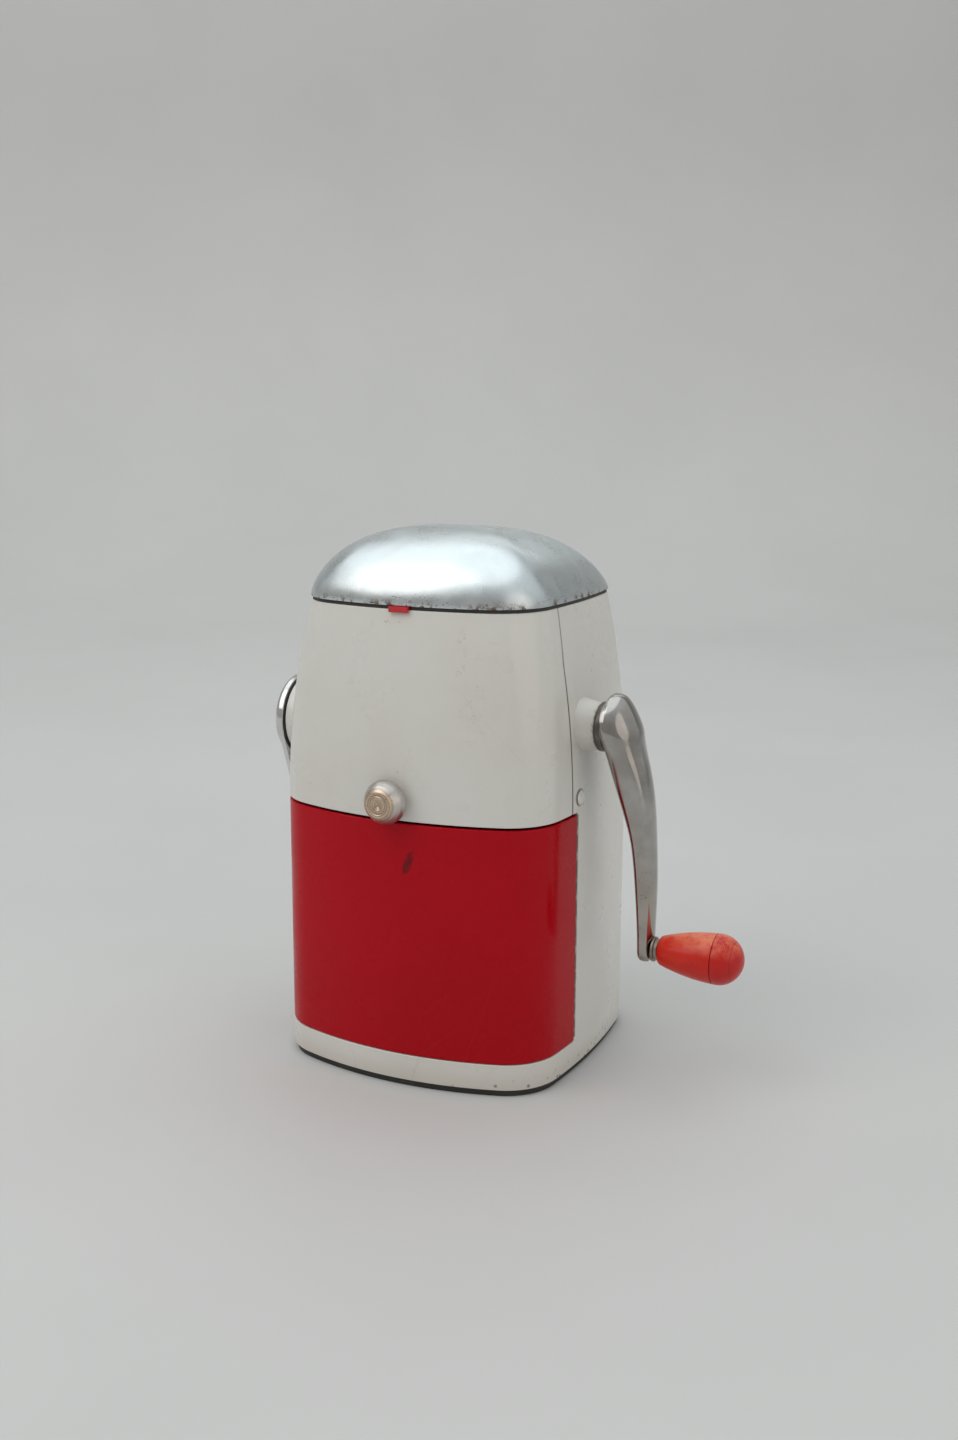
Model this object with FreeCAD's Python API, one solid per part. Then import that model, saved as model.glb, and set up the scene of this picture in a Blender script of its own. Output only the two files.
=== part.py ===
import FreeCAD, Part
import math
import os

Vector = FreeCAD.Vector

# Hand crank ice crusher.
# Frame: +X towards the crank, -Y towards the front, +Z up.
# The origin is on the table under the middle of the body.

# Overall body
body_half_width = 69.2
body_half_depth = 66.8
front_bow = 156.0
side_bow = 330.0
back_bow = 500.0
front_corner = 26.5
rear_corner = 24.0

# Heights, stacked up from the table
pad_height = 3.0
base_band_height = 12.0
bin_space_height = 108.0
cover_height = 91.0
gasket_height = 1.3
lid_height = 31.0

base_z = pad_height
floor_z = base_z + base_band_height
seam_z = floor_z + bin_space_height
rim_z = seam_z + cover_height

# Shells
wall = 2.5
floor_thickness = 3.0
shoulder_inset = 9.8
rear_shoulder_share = 0.5
seam_gap = 0.3
fit_gap = 0.3
running_gap = 0.05
press_gap = 0.03
cover_seam_y = -24.0
cover_seam_top_y = -21.0
cover_seam_bend = 67.0
bin_seam_y = -19.0

# Lid
lid_wall = 1.2
lid_overhang = 0.3
lid_seat_gap = 0.2
lid_crown_power = 1.44
lid_plan_power = 3.0
lid_depth_power = 1.27
lid_forward_lean = 8.3
lid_corner_growth = 0.28
gasket_width = 2.6
gasket_inset = 0.4
hinge_behind_rim = 5.1
hinge_below_rim = 4.5
hinge_radius = 3.8
hinge_pin_radius = 1.6
hinge_leaf_half_width = 7.6
hinge_ear_width = 5.0
hinge_leaf_thickness = 1.5
hinge_leaf_height = 11.0
lid_rivet_radius = 1.2
lid_rivet_height = 6.0
lid_rivet_spacing = 8.4
lid_rivet_head = 0.8
lid_tab_width = 9.3
lid_tab_drop = 2.5
lid_tab_thickness = 1.2

# Crank axis and shaft
crank_y = -8.5
crank_z = 160.8
shaft_radius = 5.0
clip_thickness = 1.0
clip_depth = 1.0
crank_boss_base_radius = 12.5
crank_boss_face_radius = 10.4
crank_boss_reach = 7.58
bush_wall = 2.0
bush_flange_radius = 9.5
bush_flange = 2.0
collar_radius = 11.0
collar_thickness = 3.4
crank_throw = 99.5
crank_sweep = 17.0
head_radius = 15.0
head_depth = 14.9
head_corner = 10.0
head_crown = 0.75
arm_crown = 0.95
arm_end_width = 12.4
arm_end_thickness = 6.2
shaft_depth_in_head = 11.0
set_screw_radius = 2.5

# Grip
grip_length = 38.6
grip_near_radius = 6.6
grip_radius = 11.35
grip_cap_share = 0.68
grip_groove = 0.5
grip_end_corner = 7.0
grip_rim = 1.2
grip_cap_band = 1.5
grip_spigot_radius = 7.0
grip_spigot_length = 3.0
grip_socket_gap = 0.1
spindle_radius = 2.5
spindle_head_radius = 4.4
spindle_head = 2.2
ferrule_radius = 5.6
ferrule_flange = 1.2
ferrule_length = 2.8

# Hopper and grinding chamber
hopper_wall = 2.5
hopper_rim_drop = 4.0
hopper_flange = 2.0
funnel_side_gap = 21.2
funnel_front_gap = 24.8
funnel_rear_gap = 20.8
funnel_corner = 18.0
throat_step = 4.0
throat_rear_step = 13.0
funnel_half_width = body_half_width - funnel_side_gap
funnel_front_y = -body_half_depth + funnel_front_gap
funnel_rear_y = body_half_depth - funnel_rear_gap
throat_half_width = funnel_half_width - throat_step
throat_front_y = funnel_front_y + throat_step
throat_rear_y = funnel_rear_y - throat_rear_step
throat_corner = 6.0
throat_top_z = 186.0
throat_bottom_z = 126.0
screw_head_share = 1.5
screw_grip_share = 0.8
hopper_screw_radius = 2.0
hopper_boss_radius = 4.0
hopper_boss_depth = 14.0
screw_side_gap = 23.6
front_screw_gap = 24.6
rear_screw_gap = 18.8
screw_x = body_half_width - screw_side_gap
front_screw_y = -body_half_depth + front_screw_gap
rear_screw_y = body_half_depth - rear_screw_gap

# Rotor, its teeth and the breaker comb
drum_radius = 13.0
tooth_rings = 6
teeth_per_ring = 4
tooth_taper = 3.0
tooth_root_length = 13.0
tooth_tip_length = 3.5
tooth_rake = 3.5
tooth_plate_gap = 1.5
drum_overhang = 5.5
drum_end_gap = 3.5
comb_side_gap = 1.0
comb_plate = 4.0
comb_height = 22.0
comb_tip_height = 7.0
comb_drum_gap = 3.0
comb_screw_radius = 2.0
rotor_pin_radius = 2.0
ring_pitch = 2 * (throat_half_width - drum_end_gap - drum_overhang) / (tooth_rings - 1)
tooth_width = ring_pitch / 2
tooth_tip_width = tooth_width - tooth_taper
comb_width = ring_pitch - tooth_width - 2 * comb_side_gap
comb_screw_x = 1.5 * ring_pitch
tooth_tip_radius = crank_y - throat_front_y - comb_plate - tooth_plate_gap

# Coarse and fine selector with its grinding gate
selector_y = -9.0
selector_z = 152.5
selector_boss_radius = 19.0
selector_boss_draft = 0.6
selector_boss_reach = 8.9
selector_face_wall = 2.5
selector_ring_thickness = 1.6
selector_cap_radius = 20.0
selector_edge = 2.0
selector_dome = 4.4
selector_corner = 2.8
selector_tail = 38.0
selector_tail_radius = 6.5
selector_tail_thickness = 3.2
selector_shaft_radius = 4.0
selector_crank_reach = 9.0
selector_web = 3.0
link_pin_radius = 2.0
link_clearance = 0.3
link_slot_travel = 1.4
gate_wall_gap = 7.0
gate_y = throat_rear_y - gate_wall_gap
gate_z = 158.0
gate_rod_radius = 3.0
gate_hub_radius = 5.5
gate_thickness = 3.5
gate_drop = 24.0
gate_lead = 12.0
gate_lever_thickness = 3.0
gate_finger_reach = 8.0

# Bin
bin_wall = 2.5
bin_lift = 0.3
bin_side_gap = 4.4
bin_top_gap = 1.1
bin_rear_gap = 14.8
bin_rear_y = body_half_depth - bin_rear_gap
bin_rear_corner = 20.0

# Bin latch
latch_z = 132.0
latch_stem_radius = 2.5
latch_knob_radius = 9.8
latch_face_radius = 5.6
latch_standoff = 3.5
latch_knob_depth = 8.2
latch_tongue_length = 15.0
latch_tongue_half_height = 3.5
latch_tongue_thickness = 1.8
latch_nut_radius = 4.5
latch_nut_thickness = 3.0

# Fasteners and the rubber foot
rivet_y = -17.0
rivet_z = 129.5
rivet_head_radius = 3.4
rivet_head_height = 1.6
rivet_radius = 1.5
rivet_tail = 1.0
cover_ear_thickness = 1.4
pad_inset = 1.5
pad_width = 11.0
pad_lip_height = 4.0
pad_lip_width = 3.0


# Basic shapes

def cylinder(radius, start, end):
    """Round bar between two points."""
    direction = end - start
    return Part.makeCylinder(radius, direction.Length, start, direction)


def tube(outer_radius, inner_radius, start, end):
    """Round sleeve between two points."""
    return cylinder(outer_radius, start, end).cut(cylinder(inner_radius, start, end))


def along_x(radius, x_start, x_end, y, z):
    return cylinder(radius, Vector(x_start, y, z), Vector(x_end, y, z))


def box_between(low, high):
    """Box from its lowest to its highest corner."""
    return Part.makeBox(high[0] - low[0], high[1] - low[1], high[2] - low[2], Vector(*low))


def side_prism(points, x_low, x_high):
    """Solid whose side view is a polygon of (y, z) points."""
    wire = Part.makePolygon([Vector(x_low, y, z) for y, z in points + points[:1]])
    return Part.Face(wire).extrude(Vector(x_high - x_low, 0, 0))


def revolved_about_x(edges, y, z):
    """Turned part: edges lie in the plane of (x, radius), closed along the axis."""
    face = Part.Face(Part.Wire(edges))
    solid = face.revolve(Vector(0, 0, 0), Vector(1, 0, 0), 360)
    solid.translate(Vector(0, y, z))
    return solid


def line(a, b):
    return Part.LineSegment(Vector(*a), Vector(*b)).toShape()


def arc(a, middle, b):
    return Part.Arc(Vector(*a), Vector(*middle), Vector(*b)).toShape()


def polyline(points):
    return [line(a, b) for a, b in zip(points[:-1], points[1:])]


def domed_end(start, radius, depth, corner, away=1):
    """Edges of a domed end: a corner arc, then a crown centred on the axis."""
    crown = (depth ** 2 - corner ** 2 + (radius - corner) ** 2) / (2 * (depth - corner))
    corner_centre = Vector(start, radius - corner, 0)
    crown_centre = Vector(start + away * (depth - crown), 0, 0)
    join = crown_centre + (corner_centre - crown_centre).normalize() * crown
    rim = Vector(start, radius, 0)
    tip = Vector(start + away * depth, 0, 0)
    corner_middle = corner_centre + ((rim + join) / 2 - corner_centre).normalize() * corner
    crown_middle = crown_centre + ((tip + join) / 2 - crown_centre).normalize() * crown
    return [Part.Arc(rim, corner_middle, join).toShape(), Part.Arc(join, crown_middle, tip).toShape()]


def fused(shapes):
    first = shapes[0]
    return first.multiFuse(shapes[1:]).removeSplitter() if len(shapes) > 1 else first


def write(name, shape):
    shape.exportStep("parts/" + name + ".step")


# The bowed outline that the body, the lid and the arm share

def circle_meeting(centre_a, radius_a, centre_b, radius_b, up):
    """Right-hand crossing of two circles, on the upper or the lower side."""
    gap = centre_b - centre_a
    reach = (radius_a ** 2 - radius_b ** 2 + gap.Length ** 2) / (2 * gap.Length)
    height = math.sqrt(radius_a ** 2 - reach ** 2)
    unit = gap / gap.Length
    normal = Vector(-unit.y, unit.x, 0)
    foot = centre_a + unit * reach
    crossings = [foot + normal * height, foot - normal * height]
    return max(crossings, key=lambda point: point.y if up else -point.y)


def outline_points(half_width, front, back, bows, corners):
    """Right half of the outline: tangent points and the middles of its arcs."""
    low_bow, flank_bow, high_bow = bows
    low_corner, high_corner = corners
    middle = (front + back) / 2
    low_centre = Vector(0, front + low_bow, 0)
    high_centre = Vector(0, back - high_bow, 0)
    flank_centre = Vector(half_width - flank_bow, middle, 0)
    low_turn = circle_meeting(low_centre, low_bow - low_corner,
                              flank_centre, flank_bow - low_corner, False)
    high_turn = circle_meeting(high_centre, high_bow - high_corner,
                               flank_centre, flank_bow - high_corner, True)

    def outward(centre, turn, radius):
        return centre + (turn - centre).normalize() * radius

    low_start = outward(low_centre, low_turn, low_bow)
    low_end = outward(flank_centre, low_turn, flank_bow)
    high_start = outward(flank_centre, high_turn, flank_bow)
    high_end = outward(high_centre, high_turn, high_bow)
    low_middle = low_turn + ((low_start + low_end) / 2 - low_turn).normalize() * low_corner
    high_middle = high_turn + ((high_start + high_end) / 2 - high_turn).normalize() * high_corner
    flank_middle = flank_centre + ((low_end + high_start) / 2 - flank_centre).normalize() * flank_bow
    return [low_start, low_middle, low_end, flank_middle, high_start, high_middle, high_end]


def bowed_outline(half_width, front, back, bows, corners, place):
    """Closed wire of eight tangent arcs; place turns a flat point into a point in space."""
    right = outline_points(half_width, front, back, bows, corners)
    left = [Vector(-point.x, point.y, 0) for point in reversed(right)]
    ring = [Vector(0, front, 0)] + right + [Vector(0, back, 0)] + left
    ring = [place(point) for point in ring]
    count = len(ring)
    edges = []
    for index in range(1, count, 2):
        start, middle, end = ring[index], ring[(index + 1) % count], ring[(index + 2) % count]
        edges.append(Part.Arc(start, middle, end).toShape())
    return Part.Wire(edges)


# Body shells

shoulder_radius = (cover_height ** 2 + shoulder_inset ** 2) / (2 * shoulder_inset)


def inset_at(z):
    """How far the shoulder has drawn in at a height: one arc, upright at the seam."""
    rise = max(0.0, z - seam_z)
    return shoulder_radius - math.sqrt(shoulder_radius ** 2 - rise ** 2)


def body_section(z, offset, level=None):
    """Outline of the body at height z, drawn in by offset and laid at a level."""
    drawn_in = inset_at(z)
    height = z if level is None else level
    return bowed_outline(
        body_half_width - drawn_in - offset,
        -body_half_depth + drawn_in + offset,
        body_half_depth - rear_shoulder_share * drawn_in - offset,
        (front_bow - offset, side_bow - offset, back_bow - offset),
        (front_corner - offset, rear_corner - offset),
        lambda point: Vector(point.x, point.y, height))


def body_prism(offset, low, high, z=None):
    """Straight-sided block with the body's outline."""
    section = body_section(low if z is None else z, offset, low)
    return Part.Face(section).extrude(Vector(0, 0, high - low))


def body_block(offset, low, high):
    """Block with the body's own sides, drawn in by offset."""
    pieces = []
    if low < seam_z:
        pieces.append(body_prism(offset, low, min(high, seam_z)))
    if high > seam_z:
        start = max(low, seam_z)
        levels = [start + (high - start) * step / 5 for step in range(6)]
        pieces.append(Part.makeLoft([body_section(z, offset) for z in levels], True, False))
    return fused(pieces)


def side_x(y, z, offset=0.0):
    """X of the body's right side at a place."""
    reach = side_bow - offset
    return body_half_width - inset_at(z) - side_bow + math.sqrt(reach ** 2 - y ** 2)


def front_y(z):
    return -body_half_depth + inset_at(z)


def rim_back_y():
    return body_half_depth - rear_shoulder_share * shoulder_inset


def cover_seam_line(shift):
    """Side view of the seam between cover and housing, moved by shift."""
    return [
        (cover_seam_y + shift, seam_z),
        (cover_seam_y + shift, seam_z + cover_seam_bend),
        (cover_seam_top_y + shift, rim_z)]


def screw_boss(x, y):
    """Corner boss under the hopper flange, with the web that ties it to the shell."""
    top = rim_z - hopper_rim_drop - hopper_flange
    low = top - hopper_boss_depth
    post = cylinder(hopper_boss_radius, Vector(x, y, low), Vector(x, y, top))
    web_half = hopper_boss_radius / 2
    web = box_between((0, -web_half, low), (3 * hopper_boss_radius, web_half, top))
    web.rotate(Vector(0, 0, 0), Vector(0, 0, 1), math.degrees(math.atan2(y, x)))
    web.translate(Vector(x, y, 0))
    hole = cylinder(hopper_screw_radius + press_gap, Vector(x, y, low), Vector(x, y, top))
    boss = fused([post, web]).common(body_block(wall / 2, low, top))
    return boss.cut([hole, chute_solid(hopper_wall + fit_gap)]), hole


def base_shell():
    """Rear shell, base band and floor, before its bosses and holes."""
    outer = body_block(0, base_z, rim_z)
    room = body_block(wall, floor_z, rim_z)
    skirt_room = body_prism(wall, base_z, floor_z - floor_thickness)
    shell = outer.cut(room).cut(skirt_room)
    far = 2 * body_half_depth
    outline = [(bin_seam_y, floor_z), (bin_seam_y, seam_z)] + cover_seam_line(0)
    outline += [(far, rim_z), (far, base_z), (-far, base_z), (-far, floor_z)]
    return shell.common(side_prism(outline, -far, far))


def crank_boss_face_x():
    return side_x(crank_y, crank_z) + crank_boss_reach


def crank_boss():
    """Tapered boss that carries the crank shaft's outer bush."""
    root_x = side_x(crank_y, crank_z) - wall / 2
    length = crank_boss_face_x() - root_x
    return Part.makeCone(crank_boss_base_radius, crank_boss_face_radius, length,
                         Vector(root_x, crank_y, crank_z), Vector(1, 0, 0))


def selector_face_x():
    return -(side_x(selector_y, selector_z) + selector_boss_reach)


def selector_boss():
    """Wide hollow boss behind the selector's ring."""
    face_x = selector_face_x()
    root_x = -(side_x(selector_y, selector_z) - wall / 2)
    boss = Part.makeCone(selector_boss_radius + selector_boss_draft, selector_boss_radius,
                         root_x - face_x, Vector(root_x, selector_y, selector_z), Vector(-1, 0, 0))
    hollow_radius = selector_boss_radius - wall
    hollow = along_x(hollow_radius, face_x + selector_face_wall, -body_half_width / 2, selector_y, selector_z)
    return boss, hollow


def hinge_axis():
    return rim_back_y() + hinge_behind_rim, rim_z - hinge_below_rim


def hinge_ears():
    """Two ears behind the rim that hold the ends of the hinge pin."""
    axis_y, axis_z = hinge_axis()
    root_y = rim_back_y() - wall / 4
    ears = []
    for side in (-1, 1):
        inner = side * (hinge_leaf_half_width + fit_gap)
        outer = side * (hinge_leaf_half_width + fit_gap + hinge_ear_width)
        low_x, high_x = sorted((inner, outer))
        knuckle = along_x(hinge_radius, low_x, high_x, axis_y, axis_z)
        bridge = side_prism([
            (root_y, axis_z + hinge_radius), (axis_y, axis_z + hinge_radius),
            (axis_y + hinge_radius, axis_z), (axis_y, axis_z - hinge_radius),
            (root_y + wall / 2, axis_z - 3 * hinge_radius)], low_x, high_x)
        ears.append(fused([knuckle, bridge]))
    return ears


def rivet_places():
    return [side * side_x(rivet_y, rivet_z) for side in (-1, 1)]


def rivet_holes():
    reach = 3 * wall
    return [along_x(rivet_radius + press_gap, x - reach, x + reach, rivet_y, rivet_z) for x in rivet_places()]


def rear_housing():
    shell = base_shell()
    drum, hollow = selector_boss()
    axis_y, axis_z = hinge_axis()
    bosses = [screw_boss(side * screw_x, rear_screw_y) for side in (-1, 1)]
    far = 2 * body_half_depth
    cover_side = box_between((-far, -far, seam_z), (far, cover_seam_y, rim_z))
    drum = drum.cut(body_block(-press_gap, seam_z, rim_z).common(cover_side))
    whole = fused([shell, crank_boss(), drum] + hinge_ears() + [boss for boss, hole in bosses])
    bush_bore = shaft_radius + running_gap + bush_wall + press_gap
    pin_hole = hinge_pin_radius + press_gap
    pin_reach = hinge_leaf_half_width + 2 * hinge_ear_width
    cuts = [hollow, along_x(bush_bore, body_half_width / 2, crank_boss_face_x(), crank_y, crank_z)]
    cuts.append(along_x(selector_bush_radius() + press_gap, selector_face_x(), -body_half_width / 2,
                        selector_y, selector_z))
    cuts.append(along_x(pin_hole, -pin_reach, pin_reach, axis_y, axis_z))
    cuts += rivet_holes()
    cuts += [hole for boss, hole in bosses]
    return whole.cut(cuts)


def front_cover():
    """Upper front shell, with inner ears that tuck behind the housing's sides."""
    far = 2 * body_half_depth
    shell = body_block(0, seam_z, rim_z).cut(body_block(wall, seam_z, rim_z))
    outline = [(-far, seam_z)] + cover_seam_line(-seam_gap) + [(-far, rim_z)]
    shell = shell.common(side_prism(outline, -far, far))
    ear_low, ear_high = seam_z + 1.0, rivet_z + 2 * rivet_head_radius
    ear_skin = wall + fit_gap + inset_at(ear_high)
    ring = body_prism(ear_skin, ear_low, ear_high, seam_z)
    ring = ring.cut(body_prism(ear_skin + cover_ear_thickness, ear_low, ear_high, seam_z))
    overlap = body_prism(wall / 2, ear_low, ear_high, ear_high)
    overlap = overlap.cut(body_prism(ear_skin + cover_ear_thickness, ear_low, ear_high, seam_z))
    ear_front = cover_seam_y - 8.0
    ear_rear = rivet_y + 1.5 * rivet_head_radius
    ears = ring.common(box_between((-far, ear_front, ear_low), (far, ear_rear, ear_high)))
    roots = overlap.common(box_between((-far, ear_front, ear_low), (far, cover_seam_y - seam_gap, ear_high)))
    bosses = [screw_boss(side * screw_x, front_screw_y) for side in (-1, 1)]
    whole = fused([shell, roots, ears] + [boss for boss, hole in bosses])
    stem_hole = cylinder(latch_stem_radius + running_gap, Vector(0, -far, latch_z), Vector(0, 0, latch_z))
    return whole.cut(rivet_holes() + [stem_hole] + [hole for boss, hole in bosses])


def cover_rivets():
    """Domed rivets that join the cover's ears to the housing."""
    tail_x = side_x(rivet_y, rivet_z) - 2 * wall - fit_gap - cover_ear_thickness
    rivets = []
    for x in rivet_places():
        side = 1 if x > 0 else -1
        sphere_radius = (rivet_head_radius ** 2 + rivet_head_height ** 2) / (2 * rivet_head_height)
        base_x = side_x(rivet_y + rivet_head_radius, rivet_z) + press_gap
        ball_x = base_x + rivet_head_height - sphere_radius
        ball = Part.makeSphere(sphere_radius, Vector(ball_x, rivet_y, rivet_z))
        head = ball.common(along_x(rivet_head_radius, base_x, base_x + rivet_head_height, rivet_y, rivet_z))
        shank = along_x(rivet_radius, tail_x + rivet_tail, base_x, rivet_y, rivet_z)
        tail = along_x(1.7 * rivet_radius, tail_x, tail_x + rivet_tail, rivet_y, rivet_z)
        rivet = fused([head, shank, tail])
        rivets.append(rivet if side > 0 else rivet.mirror(Vector(0, 0, 0), Vector(1, 0, 0)))
    return Part.makeCompound(rivets)


def base_pad():
    """One-piece rubber foot under the whole edge, with a lip inside the skirt."""
    foot = body_prism(pad_inset, 0, base_z).cut(body_prism(pad_inset + pad_width, 0, base_z))
    lip = body_prism(wall + fit_gap, base_z, base_z + pad_lip_height)
    lip = lip.cut(body_prism(wall + fit_gap + pad_lip_width, base_z, base_z + pad_lip_height))
    return fused([foot, lip])


def lid_gasket():
    """Black seal on the rim, notched where the lid's tab passes."""
    top = rim_z + gasket_height
    ring = body_prism(gasket_inset, rim_z, top).cut(body_prism(gasket_inset + gasket_width, rim_z, top))
    notch_half = lid_tab_width / 2 + fit_gap
    notch = box_between((-notch_half, -body_half_depth, rim_z), (notch_half, 0, top))
    return ring.cut(notch)


# Lid

lid_base_z = rim_z + gasket_height + lid_seat_gap
lid_half_width = body_half_width - shoulder_inset + lid_overhang
lid_front_y = front_y(rim_z) - lid_overhang
lid_rear_y = rim_back_y() + lid_overhang


def lid_section(shrink, skin):
    """Outline of the dome where it has narrowed to a share of its base."""
    climb = (1 - shrink ** lid_plan_power) ** (1 / lid_crown_power)
    half_width = (lid_half_width - skin) * shrink
    full_depth = (lid_rear_y - lid_front_y) / 2
    half_depth = (full_depth - skin) * shrink ** lid_depth_power
    centre_y = (lid_front_y + lid_rear_y) / 2 - lid_forward_lean * climb
    height = lid_base_z + (lid_height - skin) * climb
    bows = [(bow - skin) * shrink for bow in (front_bow, side_bow, back_bow)]
    corner_share = (1 + lid_corner_growth * (1 - shrink)) * half_depth / full_depth
    corners = [(corner - skin) * corner_share for corner in (front_corner, rear_corner)]
    return bowed_outline(half_width, centre_y - half_depth, centre_y + half_depth, bows, corners,
                         lambda point: Vector(point.x, point.y, height))


def lid_dome(skin):
    """Solid dome of the lid, drawn in by the skin thickness."""
    shares = [1.0, 0.985, 0.95, 0.88, 0.78, 0.64, 0.46, 0.28, 0.12]
    return Part.makeLoft([lid_section(share, skin) for share in shares], True, False)


def lid_back_y(height):
    """Y of the dome's back on the middle line, at a height above its edge."""
    climb = height / lid_height
    shrink = (1 - climb ** lid_crown_power) ** (1 / lid_plan_power)
    half_depth = (lid_rear_y - lid_front_y) / 2 * shrink ** lid_depth_power
    return (lid_front_y + lid_rear_y) / 2 - lid_forward_lean * climb + half_depth


def lid_rivet_bars(radius):
    """Pair of bars square to the dome's back, one at each rivet's place."""
    step = 0.5
    fall = (lid_back_y(lid_rivet_height - step) - lid_back_y(lid_rivet_height + step)) / (2 * step)
    square = Vector(0, 1, fall).normalize() * (4 * hinge_leaf_thickness)
    bars = []
    for side in (-1, 1):
        seat = Vector(side * lid_rivet_spacing / 2, lid_back_y(lid_rivet_height),
                      lid_base_z + lid_rivet_height)
        bars.append(cylinder(radius, seat - square, seat + square))
    return bars


def lid_rivets():
    """Two rivets through the strap and the lid, with heads that follow both faces."""
    outside = lid_dome(-hinge_leaf_thickness - press_gap)
    inside = lid_dome(lid_wall + press_gap)
    proud = lid_dome(-hinge_leaf_thickness - press_gap - lid_rivet_head)
    deep = lid_dome(lid_wall + press_gap + lid_rivet_head)
    rivets = []
    for shank, head in zip(lid_rivet_bars(lid_rivet_radius), lid_rivet_bars(1.8 * lid_rivet_radius)):
        caps = [head.common(proud).cut(outside), head.common(inside).cut(deep)]
        rivets.append(fused([shank.common(proud).cut(deep)] + caps))
    return Part.makeCompound(rivets)


def lid_rivet_holes():
    return lid_rivet_bars(lid_rivet_radius + press_gap)


def lid_shell():
    return lid_dome(0).cut([lid_dome(lid_wall)] + lid_rivet_holes())


def lid_hinge_leaf():
    """Strap on the back of the lid, carried down to the knuckle between the ears."""
    axis_y, axis_z = hinge_axis()
    half = hinge_leaf_half_width
    top = lid_base_z + hinge_leaf_height
    bottom = lid_base_z + 0.8
    strap = lid_dome(-hinge_leaf_thickness).common(
        box_between((-half, 0, bottom), (half, 2 * body_half_depth, top)))
    inner_y = rim_back_y() + 2 * fit_gap
    neck = side_prism([
        (inner_y, bottom), (inner_y, rim_z), (axis_y, axis_z), (axis_y + hinge_radius, axis_z),
        (axis_y, bottom + hinge_radius), (inner_y - 1.0, bottom + hinge_radius)], -half, half)
    knuckle = along_x(hinge_radius, -half, half, axis_y, axis_z)
    leaf = fused([strap, neck, knuckle]).cut(lid_dome(-press_gap))
    pin_bore = along_x(hinge_pin_radius + running_gap, -half, half, axis_y, axis_z)
    return leaf.cut([pin_bore] + lid_rivet_holes())


def hinge_pin():
    axis_y, axis_z = hinge_axis()
    reach = hinge_leaf_half_width + fit_gap + hinge_ear_width
    return along_x(hinge_pin_radius, -reach, reach, axis_y, axis_z)


def lid_tab():
    """Lift tab: inner pad behind the lid's front, tongue over the rim, lip down the front."""
    half = lid_tab_width / 2
    lip_y = front_y(rim_z) - lid_tab_thickness - fit_gap - lid_overhang
    tongue_low = rim_z + 0.1
    tongue_high = lid_base_z - 0.1
    pad_front = lid_front_y + lid_wall + 1.3
    pad_rear = pad_front + lid_tab_thickness
    lip = box_between((-half, lip_y, tongue_high - lid_tab_drop),
                      (half, lip_y + lid_tab_thickness, tongue_high))
    tongue = box_between((-half, lip_y, tongue_low), (half, pad_rear, tongue_high))
    pad = box_between((-half, pad_front, tongue_low), (half, pad_rear, lid_base_z + 5.0))
    return fused([lip, tongue, pad])


# Hopper and grinding chamber

def rounded_rectangle(half_width, front, back, corner, z):
    """Rectangle with round corners, as eight edges."""
    turn = corner * (1 - math.sqrt(0.5))
    edges = []
    places = [(half_width, front, 1, -1), (half_width, back, 1, 1), (-half_width, back, -1, 1),
              (-half_width, front, -1, -1)]
    rounds = []
    for x, y, out_x, out_y in places:
        beside = Vector(x - out_x * corner, y, z)
        along = Vector(x, y - out_y * corner, z)
        middle = Vector(x - out_x * turn, y - out_y * turn, z)
        ordered = (beside, middle, along) if out_x * out_y < 0 else (along, middle, beside)
        rounds.append(ordered)
    for index, (start, middle, end) in enumerate(rounds):
        edges.append(Part.Arc(start, middle, end).toShape())
        following = rounds[(index + 1) % 4][0]
        edges.append(Part.LineSegment(end, following).toShape())
    return Part.Wire(edges)


hopper_flange_top = rim_z - hopper_rim_drop
hopper_flange_low = hopper_flange_top - hopper_flange


def chute_solid(skin):
    """Funnel and throat as one solid, grown outwards by the skin."""
    top = rounded_rectangle(funnel_half_width + skin, funnel_front_y - skin, funnel_rear_y + skin,
                            funnel_corner + skin, hopper_flange_top)
    knee = rounded_rectangle(throat_half_width + skin, throat_front_y - skin, throat_rear_y + skin,
                             throat_corner + skin, throat_top_z)
    foot = Part.Face(rounded_rectangle(throat_half_width + skin, throat_front_y - skin, throat_rear_y + skin,
                                       throat_corner + skin, throat_bottom_z))
    funnel = Part.makeLoft([knee, top], True, True)
    return fused([foot.extrude(Vector(0, 0, throat_top_z - throat_bottom_z)), funnel])


def hopper():
    """Cast hopper: rim flange, funnel and throat, with the shaft and gate bores."""
    flange = body_prism(wall + fit_gap, hopper_flange_low, hopper_flange_top, hopper_flange_top)
    whole = fused([flange, chute_solid(hopper_wall)]).cut(chute_solid(0))
    reach = throat_half_width + 2 * hopper_wall
    bush_bore = shaft_radius + running_gap + bush_wall + press_gap
    cuts = [along_x(bush_bore, -reach, reach, crank_y, crank_z)]
    cuts.append(along_x(gate_rod_radius + running_gap, -reach, reach, gate_y, gate_z))
    for x, y in hopper_screw_places():
        cuts.append(cylinder(hopper_screw_radius + press_gap, Vector(x, y, hopper_flange_low),
                             Vector(x, y, hopper_flange_top)))
    for x in comb_screw_places():
        cuts.append(cylinder(comb_screw_radius + press_gap, Vector(x, throat_front_y - hopper_wall, crank_z),
                             Vector(x, throat_front_y, crank_z)))
    return whole.cut(cuts)


def hopper_screw_places():
    front = [(side * screw_x, front_screw_y) for side in (-1, 1)]
    rear = [(side * screw_x, rear_screw_y) for side in (-1, 1)]
    return front + rear


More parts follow.
